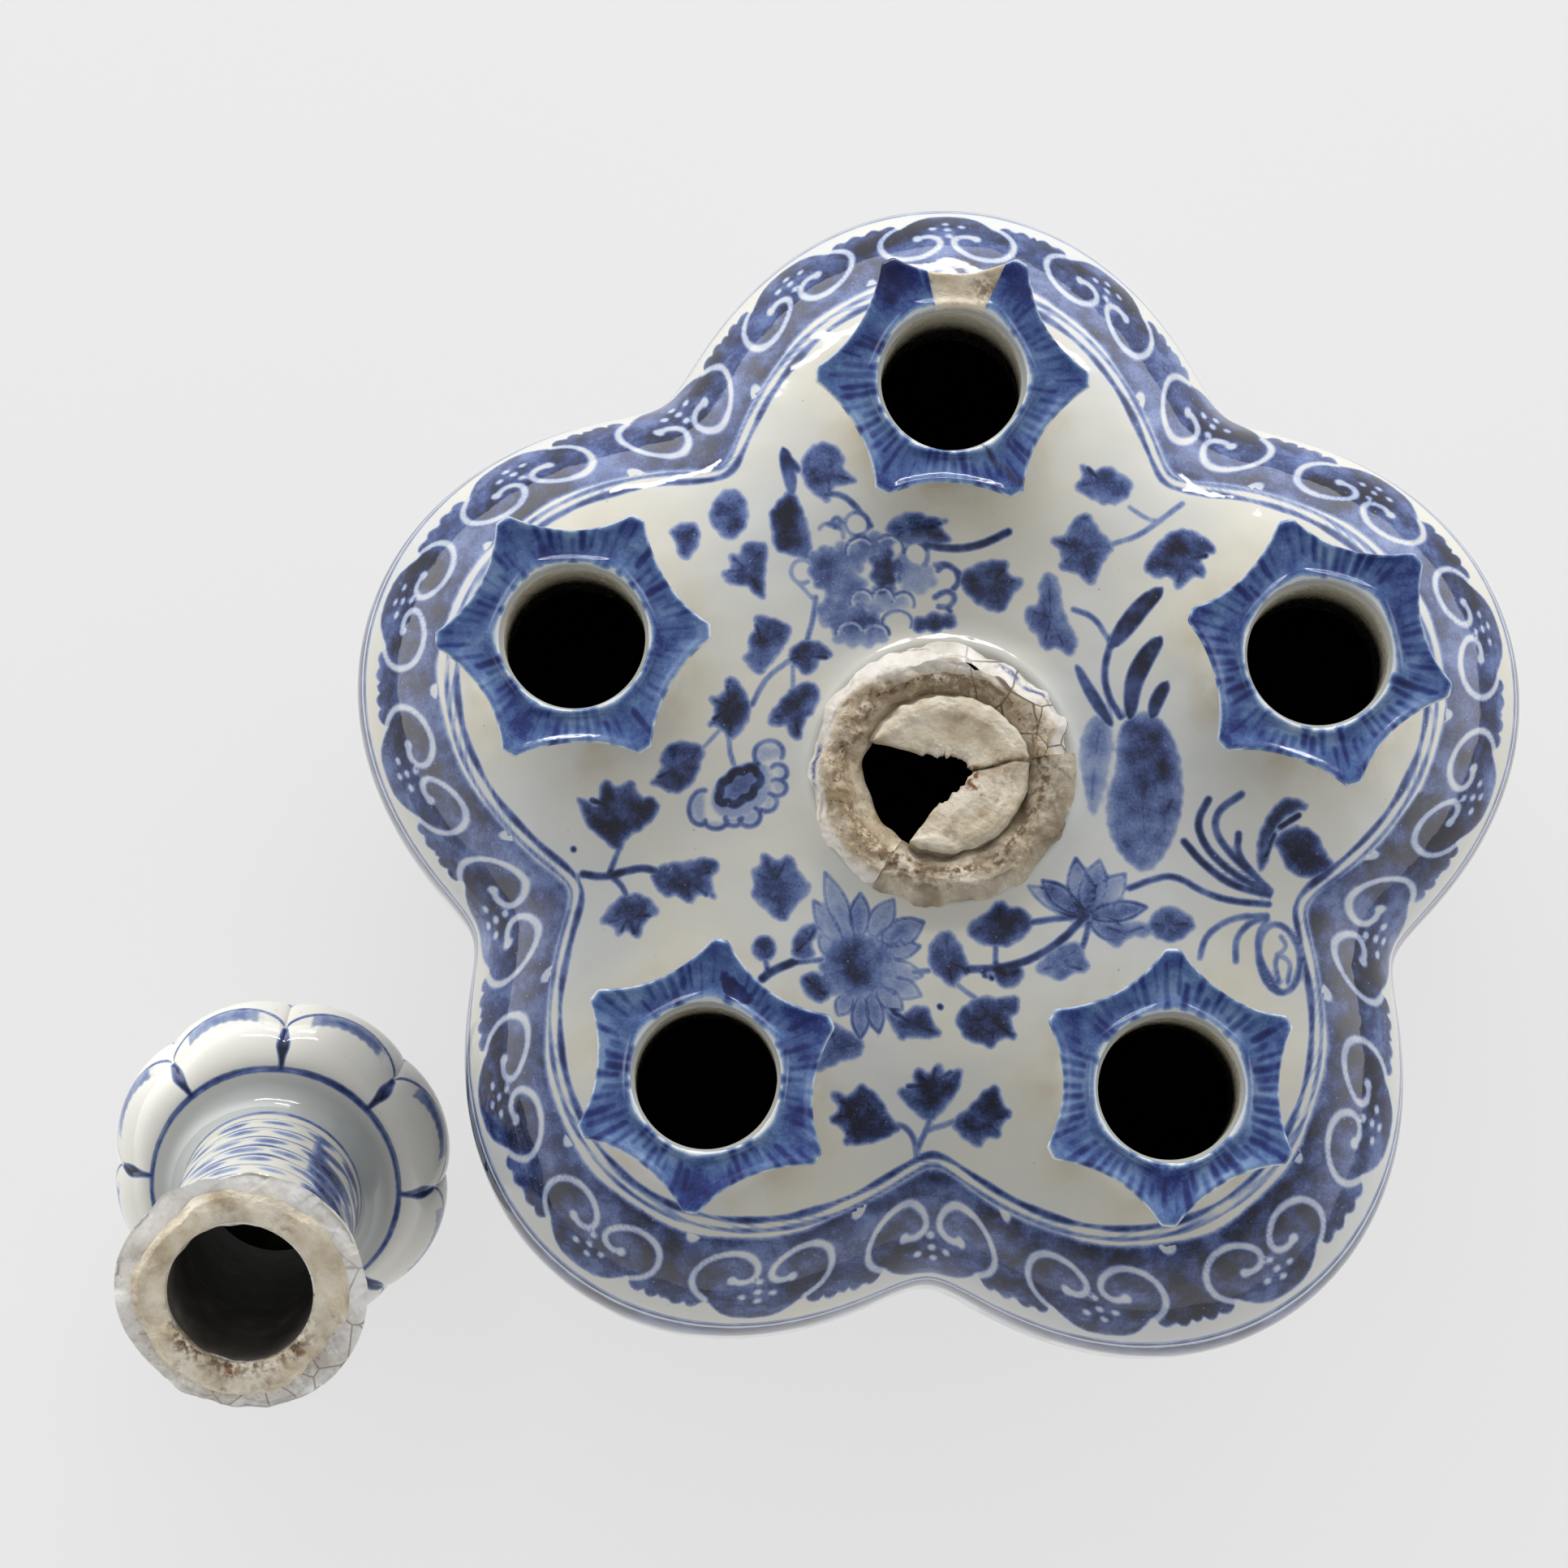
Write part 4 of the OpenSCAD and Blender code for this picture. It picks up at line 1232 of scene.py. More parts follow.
def flange_glaze():
    material, tree, shader = new_material("blue_flange_glaze")
    depth = cobalt_depth(tree)
    body = blend(tree, fade(tree, noise(tree, 12, 2.0), 0.35, 0.65), FLANGE_PALE, FLANGE_COOL)
    colour = blend(tree, fade(tree, depth, 0.0, 0.2), body, ramp(tree, depth, FLANGE_COBALT))
    set_inputs(tree, shader, {
        "Base Color": blend(tree, value_of(tree, "stain"), colour, FLANGE_CRACK),
        "Roughness": fade(tree, noise(tree, 3.0), 0.3, 0.8, 0.07, 0.16),
        "Normal": bump(tree, noise(tree, 3.0, 2.0), 0.2, 0.3),
        "IOR": GLAZE_IOR,
    })
    return material


def mottled(name, stops, patches, roughness, grain, strength, **more):
    """A dull face with patches of colour and a fine grain, each given as a noise's size and detail."""
    material, tree, shader = new_material(name)
    set_inputs(tree, shader, {
        "Base Color": ramp(tree, noise(tree, *patches), stops),
        "Roughness": roughness,
        "Normal": bump(tree, noise(tree, *grain), strength, 0.3),
        **more,
    })
    return material


def dark_inside():
    """The reservoir's wall, unglazed and painted almost black: painted shade, so that its inside looks dark
    through the bores.
    """
    matt = {"Specular IOR Level": 0.1}
    return mottled("painted_shade_inside", PAINTED_SHADE_INSIDE, (10, 4.0), 0.85, (1.5, 3.0), 0.3, **matt)


# The inside of the neck's bore: a dark mottled brown
def neck_inside():
    return mottled("dark_neck_bore", NECK_BORE_DARK, (6, 5.0), 0.75, (1.2, 4.0), 0.4)


def bore_glaze():
    """The thin yellowish glaze inside the spouts, with painted shade that darkens it with depth."""
    material, tree, shader = new_material("bore_glaze")
    clean = blend(tree, fade(tree, noise(tree, 8), 0.35, 0.7), BORE_CLEAN, BORE_STAINED)
    set_inputs(tree, shader, {
        "Base Color": blend(tree, fade(tree, value_of(tree, "depth"), 0.45, 1.0), clean, BORE_PAINTED_SHADE),
        "Roughness": fade(tree, noise(tree, 4.0), 0.3, 0.8, 0.2, 0.4),
        "Normal": bump(tree, noise(tree, 3.0), 0.2, 0.3),
    })
    return material


def old_plaster():
    material, tree, shader = new_material("old_plaster")
    patches = noise(tree, 5.5, 5.0, 0.62)
    dull = ramp(tree, patches, PLASTER_DULL)
    colour = blend(tree, value_of(tree, "pale"), dull, ramp(tree, patches, PLASTER_CREAM))
    dirt = times(tree, fade(tree, noise(tree, 1.3, 5.0), 0.4, 0.62), value_of(tree, "rough"))
    colour = blend(tree, dirt, colour, PLASTER_DIRT)
    rust = times(tree, value_of(tree, "rust"), fade(tree, noise(tree, 1.1), 0.4, 0.58))
    grains = plus(tree, noise(tree, 0.7, 4.0), noise(tree, 2.6))
    set_inputs(tree, shader, {
        "Base Color": blend(tree, rust, colour, PLASTER_RUST),
        "Roughness": 0.8,
        "Normal": bump(tree, grains, 0.6, 0.5),
    })
    return material


def broken_porcelain():
    """A torn edge of porcelain: pale slabs of glaze, brown cracks and soil in the hollows."""
    material, tree, shader = new_material("broken_porcelain")
    rough = value_of(tree, "rough")
    patches = noise(tree, 6.0, 4.0)
    cool = ramp(tree, patches, BREAK_COOL)
    body = blend(tree, value_of(tree, "pale"), cool, ramp(tree, patches, BREAK_CREAM))
    crack = fade(tree, cells(tree, 6.5), 0.008, 0.034, 0.9, 0.0)
    body = blend(tree, times(tree, crack, value_of(tree, "crackle")), body, BREAK_CRACK)
    line = times(tree, value_of(tree, "blue"), fade(tree, noise(tree, 2.2), 0.35, 0.55))
    body = blend(tree, line, body, BREAK_BLUE)
    soil = times(tree, rough, fade(tree, noise(tree, 2.0, 6.0, 0.7), 0.34, 0.56))
    body = blend(tree, soil, body, BREAK_SOIL)
    dark = times(tree, rough, fade(tree, noise(tree, 0.8), 0.55, 0.7))
    grains = plus(tree, times(tree, noise(tree, 0.7, 5.0), rough), noise(tree, 4.0))
    set_inputs(tree, shader, {
        "Base Color": blend(tree, dark, body, BREAK_DARK),
        "Roughness": fade(tree, rough, 0.1, 0.5, 0.25, 0.85),
        "Normal": bump(tree, grains, 0.7, 0.6),
    })
    return material


def bare_biscuit():
    return mottled("bare_biscuit", BISCUIT, (7, 4.0), 0.8, (0.8, 3.0), 0.4)


# Pieces of the vase


def meridian_shares(low, high, count):
    """Shares of the outline, evenly spaced along the dome's skin."""
    fine = np.sin(np.linspace(math.asin(low), math.asin(high), 4000))
    radius = fine * (VALLEY_R + 0.6 * (TIP_R - VALLEY_R) * fine**LOBE_FADE)
    run = np.concatenate([[0], np.cumsum(np.hypot(np.diff(radius), np.diff(dome_height(fine))))])
    return np.interp(np.linspace(0, run[-1], count), run, fine)


# Fillets of slip round the spouts and the stump: height, width, overlap and steepness
SPOUT_FILLET_H = 1.9 * MM
SPOUT_FILLET_W = 5 * MM
SPOUT_FILLET_IN = 0.2 * MM
SPOUT_FILLET_STEEP = 2.2
STUMP_FILLET_H = 1.3 * MM
STUMP_FILLET_W = 4.5 * MM
STUMP_FILLET_IN = 0.6 * MM
STUMP_FILLET_START = 3.4 * MM
# Waves of a hand-made skin: depth and size in mm, and seed; they die away towards the belly
SKIN_WAVES = [(0.16, 22, 11), (0.07, 7, 12), (0.015, 2.6, 13)]
SKIN_WAVES_FADE = 6 * MM
SPOUT_STAIN = 0.8
SPOUT_STAIN_W = 13 * MM


def lift_skin(places, skin):
    """Soft fillets of slip where the spouts and the stump stand, and the slight waves of a hand-made skin."""
    lifted = places.copy()
    for axis in SPOUT_AXES:
        out = (away_from(axis, places) - SPOUT_R + SPOUT_FILLET_IN) / SPOUT_FILLET_W
        lifted[:, 2] += SPOUT_FILLET_H * held(1 - out) ** SPOUT_FILLET_STEEP * skin
    _, reach = polar(places)
    fillet = held(1 - (reach - STUMP_R + STUMP_FILLET_IN) / STUMP_FILLET_W) ** 2
    fillet *= held((reach - STUMP_R + STUMP_FILLET_START) / (2 * MM))
    lifted[:, 2] += STUMP_FILLET_H * fillet * skin
    uneven = sum(depth * waves(places[:, :2] / MM, size, seed) for depth, size, seed in SKIN_WAVES)
    above_belly = held((places[:, 2] - BELLY_Z) / SKIN_WAVES_FADE)
    lifted[:, 2] += uneven * MM * skin * above_belly
    return lifted


def spout_stain(places):
    """Yellowish stain in the glaze round the spouts' roots."""
    stain = np.zeros(len(places))
    for axis in SPOUT_AXES:
        near = held(1 - (away_from(axis, places) - SPOUT_R) / SPOUT_STAIN_W)
        stain = np.maximum(stain, near**1.4)
    return SPOUT_STAIN * stain


def make_dome(name, shares, around, inner_count, materials, paint):
    """A zone of the dome, laid out by share of the outline, at 1 for the outer skin and 0 for the inner."""
    inner = np.linspace(shares[-1], shares[0], inner_count)
    profile = [(s, 1.0) for s in shares] + [(s, 0.0) for s in inner]
    mesh, flat, bearing, share = spun_piece(name, profile, around)
    # The dome is upright at its rim, where a share just short of 1 would leave a slit over the bowl
    share = np.round(share, 6)
    skin = flat[:, 2]
    inset = WALL * (1 - skin)
    radius = dome_radius(bearing, share, inset)
    places = from_polar(bearing, radius, dome_height(share, inset))
    painting = Painting(places[:, :2] / MM)
    paint(painting, bearing, share, radius, places[:, 2] / MM)
    painting.put_on(mesh, skin)
    put_values(mesh, "stain", spout_stain(places) * skin)
    put_places(mesh, lift_skin(places, skin))
    bored = np.zeros(len(places), bool)
    for axis in SPOUT_AXES:
        bored |= away_from(axis, places) < (BORE_R + SPOUT_R) / 2
    put_values(mesh, "inside", 1 - skin)
    drop_faces(mesh, bored, bored & (skin < 0.5))
    add_piece(mesh, materials, "vase", "painted_glaze", "dome_shell")


def paint_field(painting, bearing, share, radius, height_mm):
    painting.lay(FIELD_STROKES)
    paint_double_line(painting, bearing, radius)


def paint_border(painting, bearing, share, radius, height_mm):
    paint_field(painting, bearing, share, radius, height_mm)
    paint_band(painting, bearing, share)
    lower = Painting(painting.points)
    paint_wall(lower, bearing, height_mm)
    below = share > BAND_END_SHARE + WALL_GAP_SHARE
    for layer in LAYERS:
        setattr(painting, layer, np.where(below, getattr(lower, layer), getattr(painting, layer)))


# Steps round the wall, the same above and below the belly so that the two skins meet point by point
WALL_STEPS = 960
# Rows down the wall and round its lower turn, and how far down the turn begins
WALL_ROWS = 54
TURN_ROWS = 18
TURN_FALL = 0.88
INNER_ROW_STEP = 7
FLOOR_SHARES = [0.5, 0.25, 0.0]
# Height that marks the inner skin while the bowl is laid out, far above any real one
INNER_MARK = 10.0


def make_bowl(materials):
    upright = np.arcsin(np.linspace(0, TURN_FALL, WALL_ROWS) ** (BOWL_FULL / 2))
    turn = np.concatenate([upright, np.linspace(upright[-1], math.pi / 2, TURN_ROWS)[1:]])
    share = FOOT_SHARE + (1 - FOOT_SHARE) * np.cos(turn) ** (2 / BOWL_FULL)
    fall = np.sin(turn) ** (2 / BOWL_FULL)
    floor_z = FOOT_TOP + WALL
    outer = list(zip(share, BELLY_Z - (BELLY_Z - FOOT_TOP) * fall))
    inner = list(zip(share, BELLY_Z - (BELLY_Z - FOOT_TOP - WALL) * fall))[::INNER_ROW_STEP]
    profile = [(s, FOOT_TOP) for s in FLOOR_SHARES[::-1]] + outer[::-1]
    profile += [(s, z + INNER_MARK) for s, z in inner] + [(s, floor_z + INNER_MARK) for s in FLOOR_SHARES]
    mesh, flat, bearing, share = spun_piece("painted_bowl", profile, WALL_STEPS, closed=False)
    hollow = flat[:, 2] > INNER_MARK / 2
    height = np.where(hollow, flat[:, 2] - INNER_MARK, flat[:, 2])
    inset = np.where(hollow & (share > 0.6), WALL, 0)
    radius = np.maximum(bowl_radius(bearing, share, inset), 0)
    places = from_polar(bearing, radius, height)
    painting = Painting(places[:, :2] / MM)
    paint_wall(painting, bearing, height / MM)
    painting.put_on(mesh, 1.0 - hollow)
    put_places(mesh, places)
    put_values(mesh, "inside", hollow)
    add_piece(mesh, materials, "vase", "painted_glaze", "lower_bowl")


FOOT_STEPS = 480
FOOT_EDGE = 1.2 * MM


def make_foot(material):
    middle = FOOT_SHARE * 0.5
    under = [(0.0, 0.0), (middle, 0.0), (FOOT_SHARE, 0.0), (FOOT_SHARE, FOOT_EDGE)]
    top = [(FOOT_SHARE, FOOT_TOP), (middle, FOOT_TOP), (0.0, FOOT_TOP)]
    mesh, flat, bearing, share = spun_piece("bare_foot", under + top, FOOT_STEPS, closed=False)
    at_rim = share > FOOT_SHARE * 0.9
    cut = np.where(at_rim & (flat[:, 2] < FOOT_EDGE / 2), FOOT_EDGE, 0)
    rim = np.where(at_rim, FOOT_INSET, 0)
    radius = np.maximum(bowl_radius(bearing, share, rim + cut), 0)
    put_places(mesh, from_polar(bearing, radius, flat[:, 2]))
    add_piece(mesh, [material], "vase", "bare_foot", "foot")


PIPE_STEPS = 120
PIPE_ROWS = 13
SWELL_LATE = 2.4
PIPE_SHADE_DEPTH = 16 * MM
PIPE_STAIN = 0.5
PIPE_STAIN_TOP = 100 * MM
PIPE_STAIN_H = 9 * MM
PIPE_OVAL = 0.012


def make_pipe(number, axis, glaze, inside):
    """A short swelling tube, open at both ends."""
    rise = np.linspace(0, 1, PIPE_ROWS)
    level = TUBE_LOW + (SPOUT_TOP - TUBE_LOW) * rise
    outer = list(zip(SPOUT_R + SPOUT_SWELL * rise**SWELL_LATE, level))
    inner = [(BORE_R, z) for z in level[::-1]]
    name = f"spout_pipe_{number}"
    mesh, places, bearing, reach = spun_piece(name, outer + inner, PIPE_STEPS)
    bored = reach < (BORE_R + SPOUT_R) / 2
    # Painted shade: the bore darkens with depth below the spout's top
    put_values(mesh, "depth", held((SPOUT_TOP - places[:, 2]) / PIPE_SHADE_DEPTH))
    put_values(mesh, "stain", PIPE_STAIN * held((PIPE_STAIN_TOP - places[:, 2]) / PIPE_STAIN_H))
    Painting(places[:, :2] / MM).put_on(mesh)
    uneven = 1 + PIPE_OVAL * np.sin(2 * bearing + number) * ~bored
    places[:, :2] *= uneven[:, None]
    places[:, 0] += axis.x
    places[:, 1] += axis.y
    put_places(mesh, places)
    put_values(mesh, "inside", bored)
    add_piece(mesh, [glaze, inside], "vase", "painted_glaze", f"spout_tube_{number}")


def star_reach(bearing):
    """Reach of a flange's edge: blunt corners with hollowed sides between them."""
    half_angle = math.pi / FLANGE_CORNERS - FLANGE_BLUNT / FLANGE_CORNER_R / 2
    half_side = FLANGE_CORNER_R * math.sin(half_angle)
    hollow = FLANGE_CORNER_R * math.cos(half_angle) - FLANGE_SIDE_R
    hollow_r = (half_side**2 + hollow**2) / (2 * hollow)
    away = FLANGE_SIDE_R + hollow_r
    sixth = math.tau / FLANGE_CORNERS
    from_middle = np.mod(bearing, sixth) - sixth / 2
    room = np.maximum(hollow_r**2 - (away * np.sin(from_middle)) ** 2, 0)
    side = away * np.cos(from_middle) - np.sqrt(room)
    return np.where(np.abs(from_middle) < half_angle, np.minimum(side, FLANGE_CORNER_R), FLANGE_CORNER_R)


# Section of a flange: share of the way from the bore to the edge, and height above the seat in mm
FLANGE_SECTION = [
    (0.0, 0.0), (0.2, 0.05), (0.38, 0.12), (0.6, 0.75), (0.8, 1.45), (0.93, 1.98),
    (0.985, 2.35), (1.0, 2.9), (0.995, 3.55), (0.965, 3.98), (0.92, 4.05),
    (0.86, 3.88), (0.78, 3.55), (0.7, 3.3), (0.62, 3.1), (0.54, 2.95),
    (0.46, 2.84), (0.38, 2.78), (0.31, 2.76), (0.25, 2.82), (0.19, 3.05),
    (0.14, 3.26), (0.09, 3.32), (0.04, 3.22), (0.0, 2.9),
]
FLANGE_STEPS = 288
# Height above the seat, in mm, over which a point lies on the painted upper face
FLANGE_UPPER_MM = 1.9
# The wash of a flange: where it begins and ends, by share of the way outwards, and its darkness
FLANGE_WASH_FROM = 0.085
FLANGE_WASH_TO = 0.95
FLANGE_TONE = 0.46
FLANGE_TONE_LIMITS = (0.22, 0.86)
HATCHES = 58

# Spout 1: the flange with the plaster corner, the dark patch beside it and a crack
REPAIRED_FLANGE = 1
PATCH_FROM = math.radians(108)
PATCH_SWEEP = math.radians(26)
PATCH_FROM_SHARE = 0.3
CRACK_BEARING = math.radians(-65)
CRACK_LEAN = math.radians(10)

# A flake of glaze lost from one flange, by its bearing and its share of the way outwards
CHIPPED_FLANGE = 3
CHIP_BEARING = math.radians(71)
CHIP_HALF_ANGLE = math.radians(11)
CHIP_SHARE = 0.36
CHIP_HALF_SHARE = 0.22


def corner_share(reach):
    """1 at a flange's corners, 0 in the hollows of its sides."""
    return held((reach - FLANGE_SIDE_R) / (FLANGE_CORNER_R - FLANGE_SIDE_R))


def paint_flange(painting, reach_share, bearing, number):
    """A blue wash with soft darker strokes across it; only the edges themselves stay pale."""
    chance = np.random.RandomState(40 + number)
    upper = painting.points[:, 1] > FLANGE_UPPER_MM
    reach = star_reach(bearing - math.radians(FLANGE_TURNS[number - 1]))
    width = (reach - FLANGE_BORE_R) / MM
    inner_gap = (reach_share - FLANGE_WASH_FROM) * width
    outer_gap = (FLANGE_WASH_TO - reach_share) * width
    depth = np.where(upper, np.minimum(inner_gap, outer_gap), FAR)
    painting.wash_all(depth, 1.0)
    turn = np.stack([np.cos(bearing), np.sin(bearing), reach_share], axis=1)
    pool = FLANGE_TONE + 0.15 * waves(turn, 0.8, 60 + number)
    pool = pool + 0.2 * corner_share(reach) * reach_share + 0.1 * (1 - reach_share)
    painting.tone = np.where(depth > -WASH_MARGIN_MM, np.clip(pool, *FLANGE_TONE_LIMITS), 0)
    middle = FLANGE_BORE_R / MM + reach_share * width
    for k in range(HATCHES):
        at = math.tau * (k + chance.uniform(-0.14, 0.14)) / HATCHES
        from_edge = chance.uniform() < 0.6
        start = chance.uniform(0.3, 0.5) if from_edge else chance.uniform(0.1, 0.18)
        end = chance.uniform(0.86, 0.94) if from_edge else chance.uniform(0.5, 0.85)
        past_end = np.maximum(np.maximum(start - reach_share, reach_share - end), 0) * width
        off = np.hypot(np.abs(half_turn(bearing - at)) * middle, past_end)
        stroke = 0.5 * (chance.uniform(0.5, 0.85) - off)
        painting.line_all(np.where(upper, stroke, FAR), chance.uniform(0.6, 0.88))


def flange_mesh(name, start, sweep):
    """A flange laid out by bearing and by share of the way from the bore to the edge."""
    hub = 0.1
    profile = [(hub + s, z * MM) for s, z in FLANGE_SECTION]
    steps = int(FLANGE_STEPS * sweep / math.tau)
    mesh, flat, bearing, out = spun_piece(name, profile, steps, angle=sweep, start=start)
    return mesh, bearing, held(out - hub), flat[:, 2]


def seat_flange(mesh, bearing, reach_share, height, number, axis):
    """Bends a laid-out flange to its star on its spout, slightly uneven, as made by hand."""
    reach = star_reach(bearing - math.radians(FLANGE_TURNS[number - 1]))
    radius = FLANGE_BORE_R + reach_share * (reach - FLANGE_BORE_R)
    swing = 0.25 * MM * np.sin(3 * bearing + number) * reach_share
    level = height * (1 - 0.1 * (1 - corner_share(reach)) * reach_share) + swing
    uneven = 1 + 0.008 * np.sin(2 * bearing + number) + 0.006 * np.sin(5 * bearing + 2 * number)
    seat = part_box(f"spout_flange_{number}")[0].z
    places = np.stack([
        axis.x + radius * uneven * np.cos(bearing),
        axis.y + radius * uneven * np.sin(bearing),
        seat + np.maximum(level, 0),
    ], axis=1)
    put_places(mesh, places)
    return places


def make_flange(number, axis, material):
    name = f"star_flange_{number}"
    start, sweep = 0.0, math.tau
    if number == REPAIRED_FLANGE:
        start, sweep = FILL_FROM + FILL_SWEEP, math.tau - FILL_SWEEP
    mesh, bearing, reach_share, height = flange_mesh(name, start, sweep)
    painting = Painting(np.stack([reach_share, height / MM], axis=1))
    paint_flange(painting, reach_share, bearing, number)
    upper = height > FLANGE_UPPER_MM * MM
    crack = np.zeros(len(bearing))
    if number == REPAIRED_FLANGE:
        turned = np.mod(bearing - PATCH_FROM, math.tau)
        across = np.minimum(turned, PATCH_SWEEP - turned) * 18
        patch = np.minimum(across, (reach_share - PATCH_FROM_SHARE) * 9)
        painting.wash_all(np.where(upper, patch, FAR), 0.97)
        way = CRACK_BEARING + CRACK_LEAN * reach_share + 0.02 * np.sin(reach_share * 14)
        crack = held(1.6 - np.abs(half_turn(bearing - way)) * 17 / 0.2)
    if number == CHIPPED_FLANGE:
        across = half_turn(bearing - CHIP_BEARING) / CHIP_HALF_ANGLE
        chip = 1 - np.hypot(across, (reach_share - CHIP_SHARE) / CHIP_HALF_SHARE)
        painting.line_all(np.where(upper, 2.4 * chip, FAR), 1.0)
    painting.put_on(mesh)
    put_values(mesh, "stain", crack)
    seat_flange(mesh, bearing, reach_share, height, number, axis)
    add_piece(mesh, [material], "vase", "blue_flange_glaze", f"spout_flange_{number}")


def make_flange_plaster(axis, material):
    """The old filling of the lost corner."""
    mesh, bearing, reach_share, height = flange_mesh("flange_plaster", FILL_FROM, FILL_SWEEP)
    places = seat_flange(mesh, bearing, reach_share, height * 0.94, REPAIRED_FLANGE, axis)
    places[:, 2] += 0.16 * MM * waves(places / MM, 3.0, 31) * (height > 1.5 * MM)
    put_places(mesh, places)
    put_torn(mesh, 0.15 + 0.6 * waves(places / MM, 5.0, 32), pale=0.8)
    add_piece(mesh, [material], "vase", "old_plaster", "flange_fill")


# Section of the stump in mm: its outer slope and torn top, by the distance inside its outer edge, and its
# inner slope, by the distance outside its bore, each with the height above the dome
STUMP_OUTER = [
    (0.0, 0.0), (0.3, 0.6), (0.9, 1.3), (1.8, 2.1), (2.8, 2.8), (3.8, 3.25), (4.8, 3.4), (5.6, 3.2),
]
STUMP_INNER = [(1.3, 2.6), (0.4, 1.8), (-0.8, 0.6), (-1.9, -0.9), (-2.4, -2.4), (-0.3, -3.0), (-0.1, 0.0)]


def stump_section():
    outer = [(STUMP_R - inside * MM, height * MM) for inside, height in STUMP_OUTER]
    return outer + [(STUMP_BORE_R + outside * MM, height * MM) for outside, height in STUMP_INNER]


def fine_section(section, per_step=4):
    """The same section with more points, so that a rough face can be worked into it."""
    fine = []
    for (r0, z0), (r1, z1) in zip(section, section[1:]):
        for k in range(per_step):
            t = k / per_step
            fine.append((r0 + (r1 - r0) * t, z0 + (z1 - z0) * t))
    return fine + [section[-1]]


# Soil on the stump by the distance from its middle in mm
STUMP_SOIL = [
    (12.4, 0.6), (13.2, 0.3), (14.4, 0.25), (15.4, 0.5), (16.0, 1.0), (17.2, 1.0), (17.9, 0.55), (19.6, 0.4),
    (20.6, 0.15), (22.0, 0.08),
]
STUMP_STEPS = 340
# Sectors of the stump: from and to in degrees, and how soft their ends are
STUMP_GRAINY = (62, 262, 25)
STUMP_BLUE = [(28, 66, 6), (168, 188, 6)]
STUMP_UPPER_SIDE = (40, 130, 30)
STUMP_CRACKLED = (0, 80, 20)
# Where the slope turns into the torn face, inside the outer edge, and where the blue line runs
STUMP_TEAR_IN = 3.4 * MM
STUMP_LINE_IN = 1.5 * MM


def put_torn(mesh, rough, rust=0.0, pale=0.0, blue=0.0, crackle=0.0):
    """What torn faces share: soil in the grain, rust, creaminess, the rest of a blue line, and cracks."""
    shares = {"rough": rough, "rust": rust, "pale": pale, "blue": blue, "crackle": crackle}
    for name, values in shares.items():
        put_values(mesh, name, held(values) * np.ones(len(mesh.vertices)))


def between(bearing, start, end, soft=10.0):
    """1 inside a sector of bearings in degrees, with soft ends."""
    middle, half = (start + end) / 2, (end - start) / 2
    off = np.abs(np.mod(bearing - middle + 180, 360) - 180)
    return held((half - off) / soft + 0.5)


def make_stump(name, start, sweep, material, node, slot, seed):
    steps = int(STUMP_STEPS * sweep / math.tau)
    mesh, places, bearing, reach = spun_piece(
        name, fine_section(stump_section()), steps, angle=sweep, start=start
    )
    bearing = np.degrees(bearing)
    ring = places[:, :2] / np.maximum(reach, MM)[:, None]
    torn = held((STUMP_R - STUMP_TEAR_IN - reach) / (1.6 * MM))
    slope = 1 - torn
    grainy = 0.25 + 0.75 * between(bearing, *STUMP_GRAINY)
    top = held(places[:, 2] / MM)
    lumps = 0.75 * waves(places / MM, 4.6, seed) + 0.36 * waves(places / MM, 1.4, seed + 1)
    slabs = 0.45 * np.round(1.4 * waves(places / MM, 7.0, seed + 3))
    places[:, 2] += MM * top * (lumps * (0.22 + 0.78 * torn * grainy) + slabs * slope * 0.6)
    places[:, 2] = np.minimum(places[:, 2], STUMP_H)
    chips = 1.5 * held(waves(ring, 0.3, seed + 4))
    chips = chips + 0.7 * held(waves(places / MM, 3.0, seed + 5))
    inward = 0.5 * waves(places / MM, 3.6, seed + 2) * torn - chips * slope
    places[:, :2] *= (1 + inward * MM / np.maximum(reach, MM))[:, None]
    line = held(1.4 - np.abs(reach - STUMP_R + STUMP_LINE_IN) / (0.45 * MM))
    line *= sum(between(bearing, *sector) for sector in STUMP_BLUE)
    soil = 1.4 * read_off(STUMP_SOIL, reach / MM)
    upper_side = between(bearing, *STUMP_UPPER_SIDE)
    soil = np.where(reach > 16.5 * MM, soil * (1 - 0.8 * upper_side), np.maximum(soil, 0.8 * upper_side))
    whiter = 0.62 * held((reach / MM - 20.0 + 3.4 * upper_side) / 0.8)
    cream = 1 - whiter if slot == "broken_porcelain" else 0.20 + 0.30 * waves(places / MM, 4.0, seed + 6)
    crackled = between(bearing, *STUMP_CRACKLED)
    put_torn(mesh, soil * (0.6 + 0.4 * grainy), pale=cream, blue=line, crackle=crackled)
    places[:, 2] += DOME_TOP
    put_places(mesh, places)
    add_piece(mesh, [material], "vase", slot, node)


# Inner edge of the curled shard: bearing in degrees and reach in mm
SHARD_EDGE = [
    (-114, 12.2), (-112, 9.8), (-106, 7.0), (-94, 5.0), (-80, 4.4), (-63, 4.1), (-30, 4.0), (-6, 4.1),
    (12, 4.7), (30, 4.6), (45, 3.7), (60, 3.2), (90, 2.8), (120, 3.3), (140, 4.9), (150, 8.0), (156, 11.8),
]
# Section of the shard: share of the way inwards and height above the dome in mm
SHARD_SECTION = [
    (0.0, -4.0), (0.0, 2.4), (0.05, 3.0), (0.14, 3.35), (0.26, 3.3), (0.4, 2.7), (0.58, 2.3), (0.76, 2.1),
    (0.9, 1.9), (0.97, 1.5), (1.0, 0.8), (1.0, -0.6), (0.93, -1.6), (0.5, -2.2), (0.12, -4.0),
]
# Outer edge of the shard: bearing in degrees and reach in mm
SHARD_RIM = [
    (-114, 12.8), (-90, 13.2), (-60, 13.6), (-20, 13.9), (5, 14.6), (30, 14.4), (60, 13.2), (90, 12.6),
    (120, 12.6), (156, 12.6),
]
SHARD_STEPS = 230
